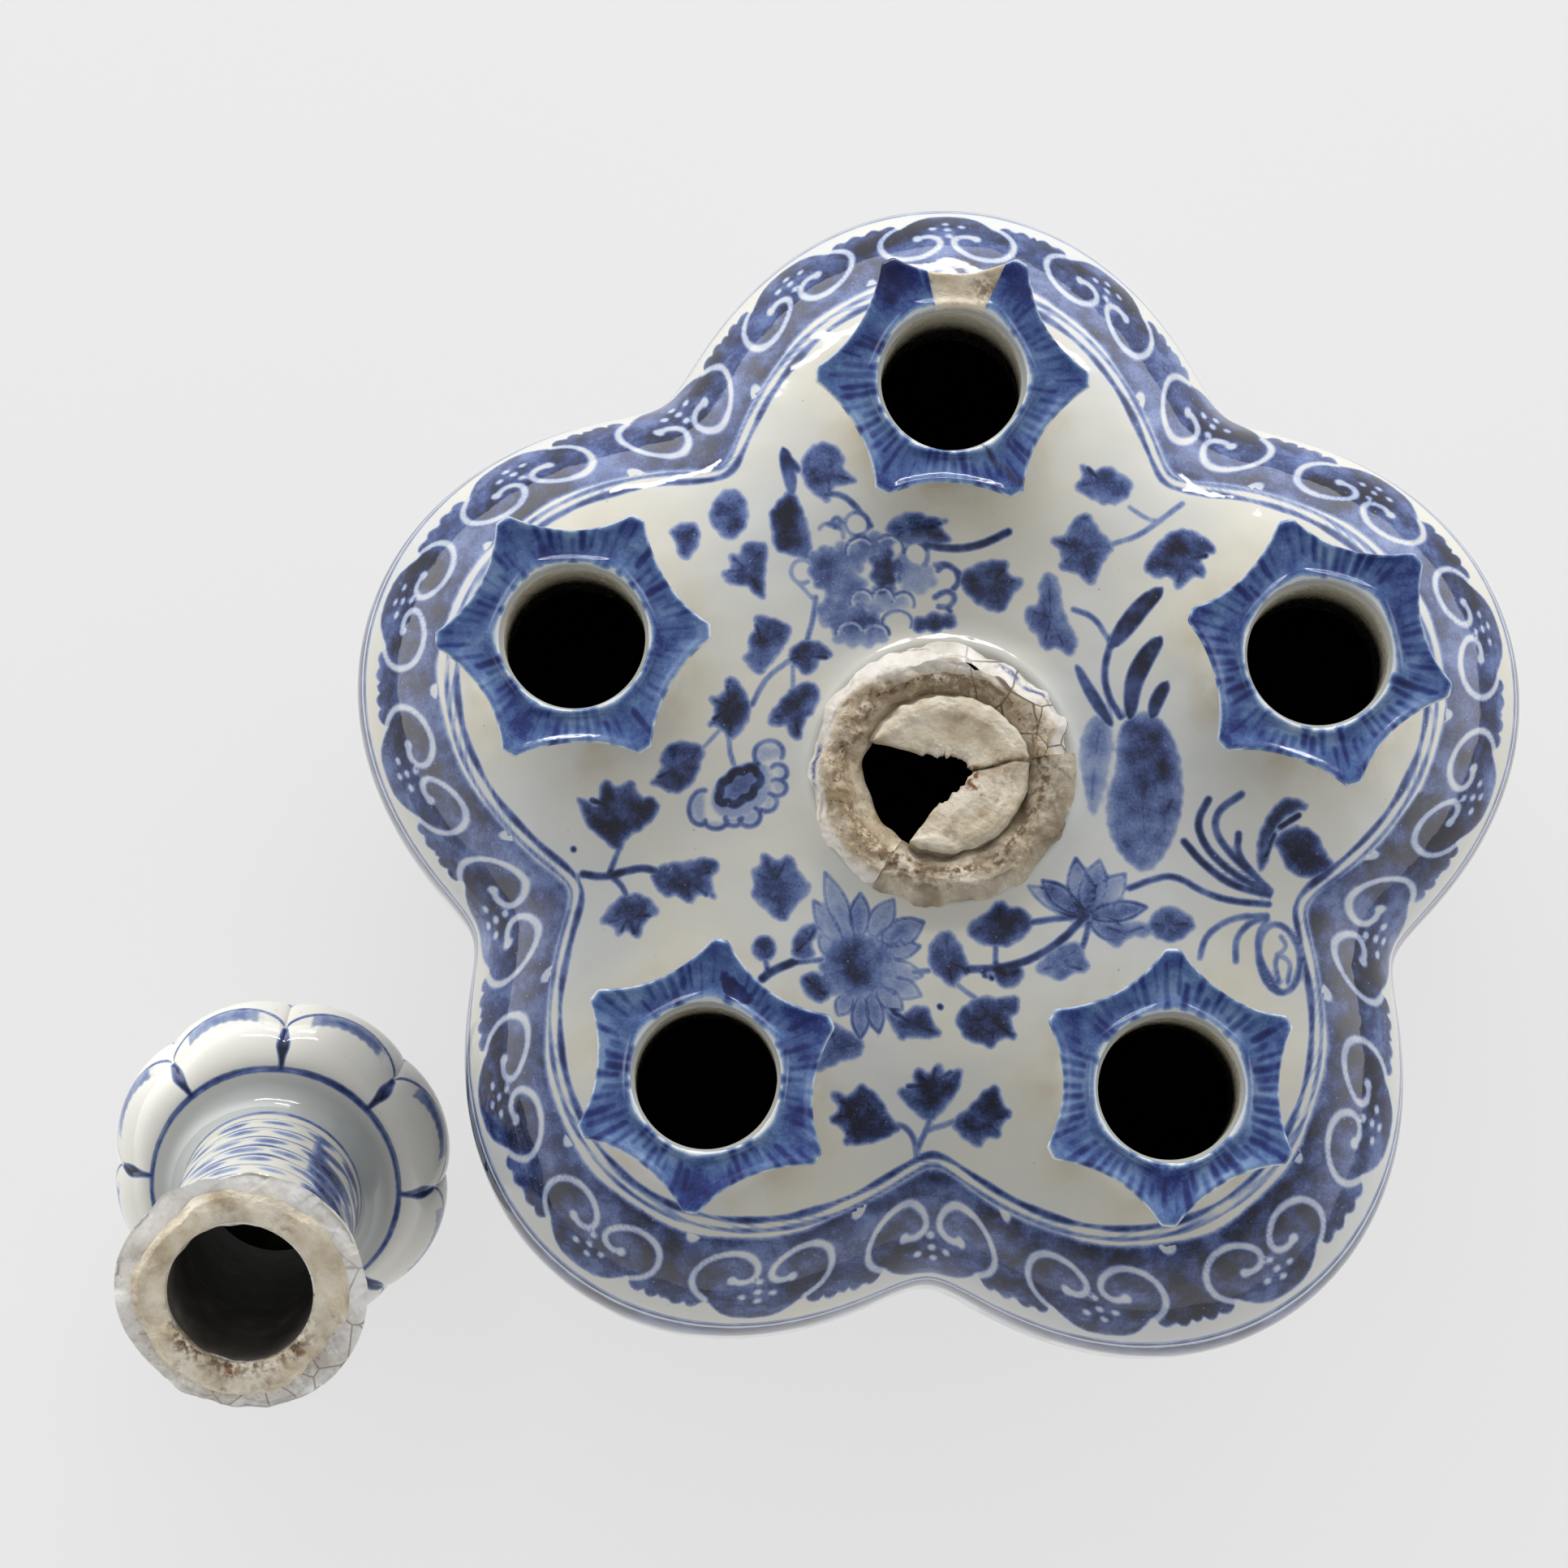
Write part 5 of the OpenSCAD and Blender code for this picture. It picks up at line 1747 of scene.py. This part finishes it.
# Bearing of the crack, and sectors of the shard: from and to in degrees, and how soft their ends are
SHARD_CRACK = 9.0
SHARD_LOWER_HALF = (-120, SHARD_CRACK, 2.0)
SHARD_RIDGED = (-40, 60, 20)
SHARD_RUSTY = (-34, 14, 8)


def make_shard(material):
    """The curled ledge of the neck's wall that is left in the stump, cracked in two."""
    hub = 2.0
    first, last = math.radians(SHARD_EDGE[0][0]), math.radians(SHARD_EDGE[-1][0])
    profile = fine_section([(hub + share, height) for share, height in SHARD_SECTION])
    mesh, flat, bearing, inwards = spun_piece(
        "curled_shard", profile, SHARD_STEPS, angle=last - first, start=first
    )
    bearing = np.degrees(bearing)
    share = held(inwards - hub)
    ring = np.stack([np.cos(np.radians(bearing)), np.sin(np.radians(bearing))], axis=1)
    edge = read_off(SHARD_EDGE, bearing) * MM
    edge += (0.5 * waves(ring, 0.22, 71) + 0.1 * waves(ring, 0.08, 72)) * MM
    rim = read_off(SHARD_RIM, bearing) * MM + 0.22 * waves(ring, 0.12, 77) * MM
    rim += held(-flat[:, 2] / 2) * (STUMP_BORE_R - 0.15 * MM - rim)
    reach = rim + share * (edge - rim)
    places = np.column_stack([ring * reach[:, None], flat[:, 2] * MM])
    upper = held(flat[:, 2])
    lower_half = between(bearing, *SHARD_LOWER_HALF)
    facets = 0.35 * waves(places / MM, 5.0, 76) - 0.7 * np.abs(waves(places / MM, 6.5, 73)) * lower_half
    ridges = 0.22 * np.sin(share * 26) * held(1 - share * 3) * between(bearing, *SHARD_RIDGED)
    facets += ridges + 0.1 * waves(places / MM, 1.3, 78)
    crack = held(1 - np.abs(bearing - SHARD_CRACK - 2.0 * np.sin(share * 5)) / 2.2)
    places[:, 2] += MM * upper * (facets - 1.3 * crack - 0.35 * lower_half * (1 - share))
    places[:, 2] = np.clip(places[:, 2], -WALL, STUMP_H)
    rusty = between(bearing, *SHARD_RUSTY) * held(0.8 + waves(places / MM, 2.2, 75))
    soiled = 0.9 * crack + 0.5 * held(waves(places / MM, 3.0, 74) - 0.3)
    put_torn(mesh, soiled, rust=rusty * held((share - 0.25) * 4), pale=0.8)
    places[:, 2] += DOME_TOP
    put_places(mesh, places)
    add_piece(mesh, [material], "vase", "old_plaster", "neck_shard")


# Pieces of the neck, made in its own frame and then laid beside the vase


HAIR = 0.01 * MM
# Sectors of the torn root as seen from above: from and to in degrees, and how soft their ends are
ROOT_SOILED = (190, 345, 40)
ROOT_CREAMY = (120, 260, 40)
ROOT_CRACKLED = (250, 380, 40)
CRUST_KEPT = (110, 340, 40)
CRUST_SOILED = (205, 335, 40)


def lay_neck(mesh, places):
    put_places(mesh, places)
    mesh.transform(NECK_PLACE)


TUBE_STEPS = 440
TUBE_RING_DEPTH = 0.3 * MM
TUBE_RING_PITCH_MM = 4.6
# Painting of the tube: levels of its broken lines, of its rows of strokes and of the lines on its root, in mm
TUBE_LINES = (11.0, 15.6, 20.2, 24.8, 29.4, 34.0, 38.6, 43.0)
STROKE_ROWS = (13.3, 17.9, 22.5, 27.1, 31.7, 36.3, 40.8)
STROKES_A_ROW = 12
STROKE_HALF_W = 2.6
STROKE_HALF_H = 0.72
ROOT_LINES = (7.5, 4.2)
DARK_SIDE = math.radians(-22)
DARK_SIDE_LEVELS = (12, 43)


def tube_outer():
    """Outer profile of the tube, from the torn root up to the collar, with faint turned rings."""
    height = np.concatenate([np.linspace(0, ROOT_H, 34)[:-1], np.linspace(ROOT_H, TUBE_LEN, 72)])
    flare = held(1 - height / ROOT_H)
    reach = TUBE_R + (ROOT_R - TUBE_R) * flare**1.6
    turned = np.abs(np.sin(height / MM * math.pi / TUBE_RING_PITCH_MM)) ** 3
    ring = -TUBE_RING_DEPTH * turned * held((height - ROOT_H) / (3 * MM))
    return list(zip(reach + ring, height))


def paint_tube(painting, bearing, height_mm):
    """Rows of short strokes between thin broken lines, and a darker blue wash down one side."""
    ring = np.stack([np.cos(bearing), np.sin(bearing), height_mm / 12], axis=1)
    broken = waves(ring, 0.5, 97)
    for level in TUBE_LINES:
        painting.line_all(0.28 + 0.22 * broken - np.abs(height_mm - level - 0.3 * broken), 0.62)
    chance = np.random.RandomState(23)
    for row, level in enumerate(STROKE_ROWS):
        shifted = bearing / math.tau * STROKES_A_ROW + 0.5 * (row % 2) + chance.uniform(-0.2, 0.2)
        off = np.abs(shifted - np.round(shifted)) * math.tau * TUBE_R / MM / STROKES_A_ROW
        stroke = 1.0 - np.hypot(off / STROKE_HALF_W, (height_mm - level) / STROKE_HALF_H)
        painting.wash_all(stroke * 1.2 + 0.25 * broken, 0.56)
    side = np.cos(bearing - DARK_SIDE)
    low, high = DARK_SIDE_LEVELS
    shade = np.minimum((side - 0.8) * 16, np.minimum(height_mm - low, high - height_mm))
    shade = np.minimum(shade, 1.4 * waves(ring * [1, 1, 2.4], 0.35, 96) + 0.4)
    painting.wash_all(shade, 0.78)
    for level in ROOT_LINES:
        wavy = height_mm - level - 0.5 * np.sin(bearing * 3)
        painting.line_all(0.45 + 0.3 * broken - np.abs(wavy), 0.6)


def seen_bearing(places):
    """Bearing in degrees about the neck's bore, as seen from above once the neck is laid down."""
    laid = places @ np.array(NECK_PLACE.to_3x3()).T
    return np.degrees(np.arctan2(laid[:, 1], laid[:, 0]))


def make_neck_tube(glaze, inside, torn_face):
    outer = tube_outer()
    inner = [(TUBE_BORE_R, z) for z in np.linspace(TUBE_LEN, 0, 24)]
    end = [(TUBE_BORE_R + (ROOT_R - TUBE_BORE_R) * t, 0.0) for t in np.linspace(0, 1, 34)[1:-1]]
    mesh, places, bearing, reach = spun_piece("painted_neck_tube", outer + inner + end, TUBE_STEPS)
    bored = reach < TUBE_BORE_R + HAIR
    torn = (places[:, 2] < HAIR) & ~(bored & (places[:, 2] > 0))
    painting = Painting(places[:, :2] / MM)
    paint_tube(painting, bearing, places[:, 2] / MM)
    painting.put_on(mesh, 1.0 - bored)
    ring = np.stack([np.cos(bearing), np.sin(bearing)], axis=1)
    seen = seen_bearing(np.column_stack([ring, np.zeros(len(ring))]))
    edge = held((reach - TUBE_BORE_R - 3.5 * MM) / (5 * MM))
    bite = np.clip(0.45 + 0.9 * waves(ring, 0.5, 91), 0, 1.3) * 1.6
    bite = bite + 0.3 * held(waves(ring, 0.14, 92))
    slabs = 0.4 * np.round(1.5 * waves(places / MM, 8.0, 98))
    grain = 0.16 * waves(places / MM, 3.0, 93) + 0.1 * waves(places / MM, 0.9, 94) + slabs
    near_end = held(1 - places[:, 2] / (4.5 * MM)) ** 2
    sunk = np.where(torn, np.maximum(bite * edge + grain * (0.15 + edge * 0.5), 0), bite * near_end)
    places[:, 2] += np.where(bored, 0, sunk) * MM
    chipped = 1 - 0.05 * near_end * held(waves(ring, 0.45, 95) + 0.2)
    places[:, :2] *= np.where(bored, 1, chipped)[:, None]
    soiled = np.where(torn, between(seen, *ROOT_SOILED) * (0.55 - 0.4 * edge) + 0.05, 0)
    creamy = between(seen, *ROOT_CREAMY) * (0.5 - 0.35 * edge)
    put_torn(mesh, soiled, pale=creamy, crackle=0.7 * between(seen, *ROOT_CRACKLED))
    put_values(mesh, "inside", bored)
    put_values(mesh, "torn", torn)
    lay_neck(mesh, places)
    add_piece(mesh, [glaze, inside, torn_face], "neck", "painted_glaze", "neck_tube")


CRUST_STEPS = 360
CRUST_H = 1.6 * MM
CRUST_W = 6.0 * MM


def make_crust(material):
    """Old plaster left round the bore on the torn root, thickest on the lower side."""
    edge = TUBE_BORE_R + CRUST_W
    section = [
        (TUBE_BORE_R + 0.3 * MM, 0.0), (TUBE_BORE_R + 0.4 * MM, -0.9 * MM),
        (TUBE_BORE_R + 1.4 * MM, -CRUST_H), (TUBE_BORE_R + 3.0 * MM, -CRUST_H),
        (edge - 1.2 * MM, -CRUST_H * 0.9), (edge, 0.0),
    ]
    mesh, places, _, reach = spun_piece("break_crust", fine_section(section, 6), CRUST_STEPS)
    ring = places[:, :2] / reach[:, None]
    seen = seen_bearing(np.column_stack([ring, np.zeros(len(ring))]))
    worn = 0.3 + 0.45 * between(seen, *CRUST_KEPT) + 0.25 * waves(ring, 0.6, 81)
    worn = worn + 0.12 * waves(places / MM, 3.0, 82)
    spread = held((reach - TUBE_BORE_R - 1.5 * MM) / (3 * MM))
    places[:, :2] *= (1 - 0.08 * spread * held(waves(ring, 0.5, 86) + 0.2))[:, None]
    places[:, 2] *= np.clip(worn, 0.06, 1)
    places[:, 2] -= 0.1 * MM * np.abs(waves(places / MM, 1.2, 83)) * (places[:, 2] < -0.1 * MM)
    places[:, 2] = np.maximum(places[:, 2], -CRUST_H)
    low_side = between(seen, *CRUST_SOILED)
    bore_side = held(1 - (reach - TUBE_BORE_R) / (3.4 * MM))
    soiled = low_side * (0.15 + 0.9 * bore_side) + 0.25 * held(waves(places / MM, 4.0, 84))
    rusty = held(waves(places / MM, 3.0, 85) - 0.75) * (0.4 + low_side)
    put_torn(mesh, soiled, rust=rusty, pale=0.95 + 0.3 * waves(places / MM, 5.0, 87))
    lay_neck(mesh, places)
    add_piece(mesh, [material], "neck", "old_plaster", "neck_plaster")


COLLAR_STEPS = 300
COLLAR_LINE_MM = 45.6


def make_collar(glaze, inside):
    """The hollowed collar, with painted shade in its hollow as grey glaze pooled there, and a blue line at
    each end.
    """
    collar_h = COLLAR_Z - TUBE_LEN
    flare = []
    for t in np.linspace(0, math.pi / 2, 26):
        reach = TUBE_R + (COLLAR_R - TUBE_R) * (1 - math.cos(t))
        flare.append((reach, TUBE_LEN + collar_h * math.sin(t) * 0.86))
    rim = [(COLLAR_R + 0.05 * MM, COLLAR_Z - 0.5 * MM), (COLLAR_R, COLLAR_Z)]
    inner = [(TUBE_BORE_R, z) for z in np.linspace(COLLAR_Z, TUBE_LEN, 6)]
    mesh, places, _, reach = spun_piece("cavetto_collar", flare + rim + inner, COLLAR_STEPS)
    bored = reach < TUBE_BORE_R + HAIR
    from_rim = (COLLAR_R - reach) / MM
    painting = Painting(places[:, :2] / MM)
    painting.line_all(0.4 - np.abs(places[:, 2] / MM - COLLAR_LINE_MM), 0.6)
    painting.line_all(0.2 - np.abs(from_rim), 0.7)
    painting.put_on(mesh, 1.0 - bored)
    # Painted shade: the glaze greyer towards the collar's hollow
    put_values(mesh, "pooled", 0.85 * held(from_rim / 2.0))
    lay_neck(mesh, places)
    put_values(mesh, "inside", bored)
    add_piece(mesh, [glaze, inside], "neck", "painted_glaze", "neck_collar")


def petal_groove(bearing):
    return 1 - np.sqrt(np.abs(np.sin(PETALS / 2 * (bearing - math.pi / 2))))


def bulb_profile(inset, count):
    """Reach, height and groove share from the collar over the shoulder to the mouth."""
    rows = []
    for t in np.linspace(0, math.pi / 2, count):
        reach = COLLAR_R - inset + (BULB_R - COLLAR_R) * math.sin(t)
        rows.append((reach, COLLAR_Z + BULB_LOW_H * (1 - math.cos(t)), math.sin(t)))
    round_r = BULB_ROUND_R - inset
    for k in np.linspace(0, 1, count)[1:]:
        t = (math.pi / 2 - BULB_SLOPE) * k
        reach = BULB_R - BULB_ROUND_R + round_r * math.cos(t)
        rows.append((reach, BULB_Z + round_r * math.sin(t), math.cos(math.pi / 2 * k)))
    return rows


BULB_STEPS = 480
# Painting of the bulb, by the run in mm from the collar: the petals' arched tips, dividers and upper lines
ARCH_FROM = 8.6
ARCH_RISE = 5.4
ARCH_SHADE = 3.6
DIVIDER_END = 8.8
DIVIDER_THICK_AT = 5.0
PETAL_HATCHES = 13
UPPER_SIDE_FROM = 17
UPPER_LINE = 30.0
BUD_AT = 24


def paint_bulb(painting, bearing, run_mm, reach):
    """Petals drawn in blue: a line at the collar, dividers, arched tips and a hatched shade under them."""
    petal = np.mod((bearing - math.pi / 2) / math.tau * PETALS, 1.0)
    petal_mm = math.tau * reach / MM / PETALS
    side_mm = (0.5 - np.abs(petal - 0.5)) * petal_mm
    painting.line_all(0.22 + 0.1 * np.sin(bearing * 5) - np.abs(run_mm - 0.2), 0.7)
    arch = ARCH_FROM + ARCH_RISE * np.sin(math.pi * petal) ** 0.6
    divider = 0.26 + 0.78 * np.exp(-(((run_mm - DIVIDER_THICK_AT) / 2.4) ** 2)) - side_mm
    painting.line_all(np.where(run_mm < DIVIDER_END, divider, FAR), 0.86)
    painting.line_all(0.32 - np.abs(run_mm - arch), 0.62)
    hatch = 0.5 + 0.5 * np.sin(petal * math.tau * PETAL_HATCHES)
    shade = np.minimum(np.minimum(arch - run_mm, run_mm - arch + ARCH_SHADE), (petal - 0.2) * 10)
    shade = np.minimum(shade, (0.8 - petal) * 10)
    painting.wash_all(shade - 0.3 * hatch, 0.46)
    upper = UPPER_LINE + 1.5 * np.sin(math.pi * petal)
    painting.line_all(0.5 - np.abs(run_mm - upper), 0.6)
    on_side = (run_mm > UPPER_SIDE_FROM) & (run_mm < UPPER_LINE)
    painting.line_all(np.where(on_side, 0.4 - side_mm, FAR), 0.6)
    bud = 1 - np.hypot((petal - 0.5) * petal_mm / 3.0, (run_mm - BUD_AT) / 3.4)
    painting.wash_all(bud * 3.0, 0.7)


def make_bulb(glaze, inside):
    hole_r = LIP_R + 0.1 * MM
    drop = BULB_WALL / math.cos(BULB_SLOPE)
    outer = bulb_profile(0.0, 34)
    for k in np.linspace(0, 1, 10)[1:]:
        outer.append((SHOULDER_R + (hole_r - SHOULDER_R) * k, SHOULDER_Z + (LIP_Z - SHOULDER_Z) * k, 0))
    inner = [(hole_r, LIP_Z - drop, 0)] + bulb_profile(BULB_WALL, 9)[::-1]
    profile = [(r, z) for r, z, _ in outer + inner]
    mesh, places, bearing, reach = spun_piece("petal_bulb", profile, BULB_STEPS)
    groove = np.zeros(len(places))
    run = np.zeros(len(places))
    outside = np.zeros(len(places), bool)
    length = 0.0
    before = outer[0]
    for row in outer:
        length += math.hypot(row[0] - before[0], row[1] - before[1]) / MM
        mine = (np.abs(reach - row[0]) < 2 * TOUCHING) & (np.abs(places[:, 2] - row[1]) < 2 * TOUCHING)
        groove[mine] = row[2]
        run[mine] = length
        outside |= mine
        before = row
    painting = Painting(places[:, :2] / MM)
    paint_bulb(painting, bearing, run, reach)
    painting.put_on(mesh, outside.astype(float))
    # Painted light: the bulb's glaze is made paler, as if lit more strongly than the rest
    put_values(mesh, "painted_light", 0.85 + 0.15 * waves(places / MM, 14.0, 89))
    radius = reach - PETAL_GROOVE * groove * petal_groove(bearing)
    lay_neck(mesh, from_polar(bearing, radius, places[:, 2]))
    put_values(mesh, "inside", ~outside)
    add_piece(mesh, [glaze, inside], "neck", "painted_glaze", "neck_bulb")


LIP_STEPS = 200


def make_lip(glaze):
    low = LIP_Z - BULB_WALL / math.cos(BULB_SLOPE)
    over = (LIP_R - MOUTH_R) / 3
    rise = over * math.tan(BULB_SLOPE)
    section = [
        (MOUTH_R, low), (LIP_R, low), (LIP_R, LIP_Z), (LIP_R - over / 2, LIP_Z + rise / 3),
        (LIP_R - over, LIP_Z + rise / 2), (MOUTH_R + over, LIP_Z + rise / 3), (MOUTH_R + over / 2, LIP_Z),
        (MOUTH_R + over / 8, LIP_Z - over / 2), (MOUTH_R, LIP_Z - over),
    ]
    mesh, places, _, _ = spun_piece("mouth_lip", section, LIP_STEPS)
    Painting(places[:, :2] / MM).put_on(mesh)
    lay_neck(mesh, places)
    add_piece(mesh, [glaze], "neck", "painted_glaze", "neck_lip")


# Floor and light

FLOOR_HALF = 4.0
FLOOR_COLOUR = (0.82, 0.82, 0.82, 1)
# Paleness of its own that the floor shows to the camera and in mirrored light, and the share of it
FLOOR_SEEN = (0.82, 0.82, 0.82, 1)
FLOOR_SEEN_SHARE = 0.8
# Light tent: its strength low down and overhead, between two heights of the way out to it
TENT_LOW = 0.18
TENT_HIGH = 0.7
TENT_WALLS = 3.6
TENT_ROOF = 0.5
# Its share in front, which rises to 1 behind, between two places along Y
TENT_FRONT = -0.7
TENT_BACK = 0.3
TENT_FRONT_SHARE = 0.4
# Lamps behind the vase: name, place, width, height and watts
LAMPS = [("softbox", (0.0, 1.25, 0.80), 1.4, 0.07, 8), ("low_strip", (0.0, 1.5, 0.42), 0.5, 0.10, 3)]
LAMP_AIM = (0, 0, 0.08)


def make_floor():
    """A pale sheet; to the camera it shows partly its own paleness, and keeps the shadow."""
    bm = bmesh.new()
    bmesh.ops.create_grid(bm, x_segments=1, y_segments=1, size=FLOOR_HALF)
    mesh = mesh_of(bm, "floor")
    material, tree, shader = new_material("pale_floor")
    set_inputs(tree, shader, {"Base Color": FLOOR_COLOUR, "Roughness": 0.9, "Specular IOR Level": 0.0})
    own = wire(tree, "ShaderNodeEmission", {"Color": FLOOR_SEEN, "Strength": 1.0})
    path = wire(tree, "ShaderNodeLightPath")
    seen = calc(tree, "MAXIMUM", path.outputs["Is Camera Ray"], path.outputs["Is Glossy Ray"])
    share = times(tree, seen, FLOOR_SEEN_SHARE)
    both = wire(tree, "ShaderNodeMixShader", {0: share, 1: shader.outputs[0], 2: own.outputs[0]})
    tree.links.new(both.outputs[0], tree.nodes["Material Output"].inputs["Surface"])
    mesh.materials.append(material)
    floor = new_object("floor", mesh)


def make_lamp(name, place, aim, width, height, watts):
    data = bpy.data.lights.new(name, "AREA")
    data.shape = "RECTANGLE"
    data.size = width
    data.size_y = height
    data.energy = watts
    lamp = new_object(name, data)
    lamp.location = place
    lamp.rotation_euler = (Vector(aim) - Vector(place)).to_track_quat("-Z", "Y").to_euler()


def make_light():
    """A light tent, bright behind and at the sides, darker overhead and in front, and two lamps behind."""
    world = bpy.data.worlds.new("studio")
    world.use_nodes = True
    tree = world.node_tree
    way = wire(tree, "ShaderNodeTexCoord").outputs["Generated"]
    parts = wire(tree, "ShaderNodeSeparateXYZ", {0: way})
    walls = fade(tree, parts.outputs["Z"], TENT_LOW, TENT_HIGH, TENT_WALLS, TENT_ROOF)
    front = fade(tree, parts.outputs["Y"], TENT_FRONT, TENT_BACK, TENT_FRONT_SHARE, 1.0)
    strength = times(tree, walls, front)
    set_inputs(tree, tree.nodes["Background"], {"Color": (1, 1, 1, 1), "Strength": strength})
    bpy.context.scene.world = world
    for name, place, width, height, watts in LAMPS:
        make_lamp(name, place, LAMP_AIM, width, height, watts)


make_camera()
painted = painted_glaze()
flange_blue = flange_glaze()
# The dark inside material is painted shade for the hollow of the vase
inside_wall = dark_inside()
bore_wall = bore_glaze()
dark_bore = neck_inside()
plaster = old_plaster()
torn_edge = broken_porcelain()
biscuit = bare_biscuit()

FIELD_STROKES = [*leaf_strokes(), *flower_strokes(), *stem_strokes()]
# The dome is made in two zones that meet at one share of the outline; near the rim the rows close up
SPLIT_SHARE = 0.7
RIM_SHARE = 0.986
FIELD_STEPS = 800
hole_share = STUMP_BORE_R / VALLEY_R
field_shares = meridian_shares(hole_share, SPLIT_SHARE, 100)
rim_turns = np.linspace(math.acos(RIM_SHARE ** (DOME_FULL / 2)), 0, 25)[1:]
rim_shares = np.cos(rim_turns) ** (2 / DOME_FULL)
border_shares = np.concatenate([meridian_shares(SPLIT_SHARE, RIM_SHARE, 68), rim_shares])
make_dome("dome_field", field_shares, FIELD_STEPS, 18, [painted, inside_wall], paint_field)
make_dome("dome_border", border_shares, WALL_STEPS, 9, [painted, inside_wall], paint_border)
make_bowl([painted, inside_wall])
make_foot(biscuit)
for index, spout_axis in enumerate(SPOUT_AXES):
    make_pipe(index + 1, spout_axis, painted, bore_wall)
    make_flange(index + 1, spout_axis, flange_blue)
make_flange_plaster(SPOUT_AXES[0], plaster)
ring_from = PLASTER_FROM + PLASTER_SWEEP + STUMP_GAP
ring_sweep = math.tau - PLASTER_SWEEP - 2 * STUMP_GAP
make_stump("stump_ring", ring_from, ring_sweep, torn_edge, "neck_root_ring", "broken_porcelain", 51)
make_stump("stump_plaster", PLASTER_FROM, PLASTER_SWEEP, plaster, "repair_plaster", "old_plaster", 61)
make_shard(plaster)
make_neck_tube(painted, dark_bore, torn_edge)
make_crust(plaster)
make_collar(painted, dark_bore)
make_bulb(painted, dark_bore)
make_lip(painted)
make_floor()
make_light()

bpy.context.scene.view_settings.view_transform = "Standard"
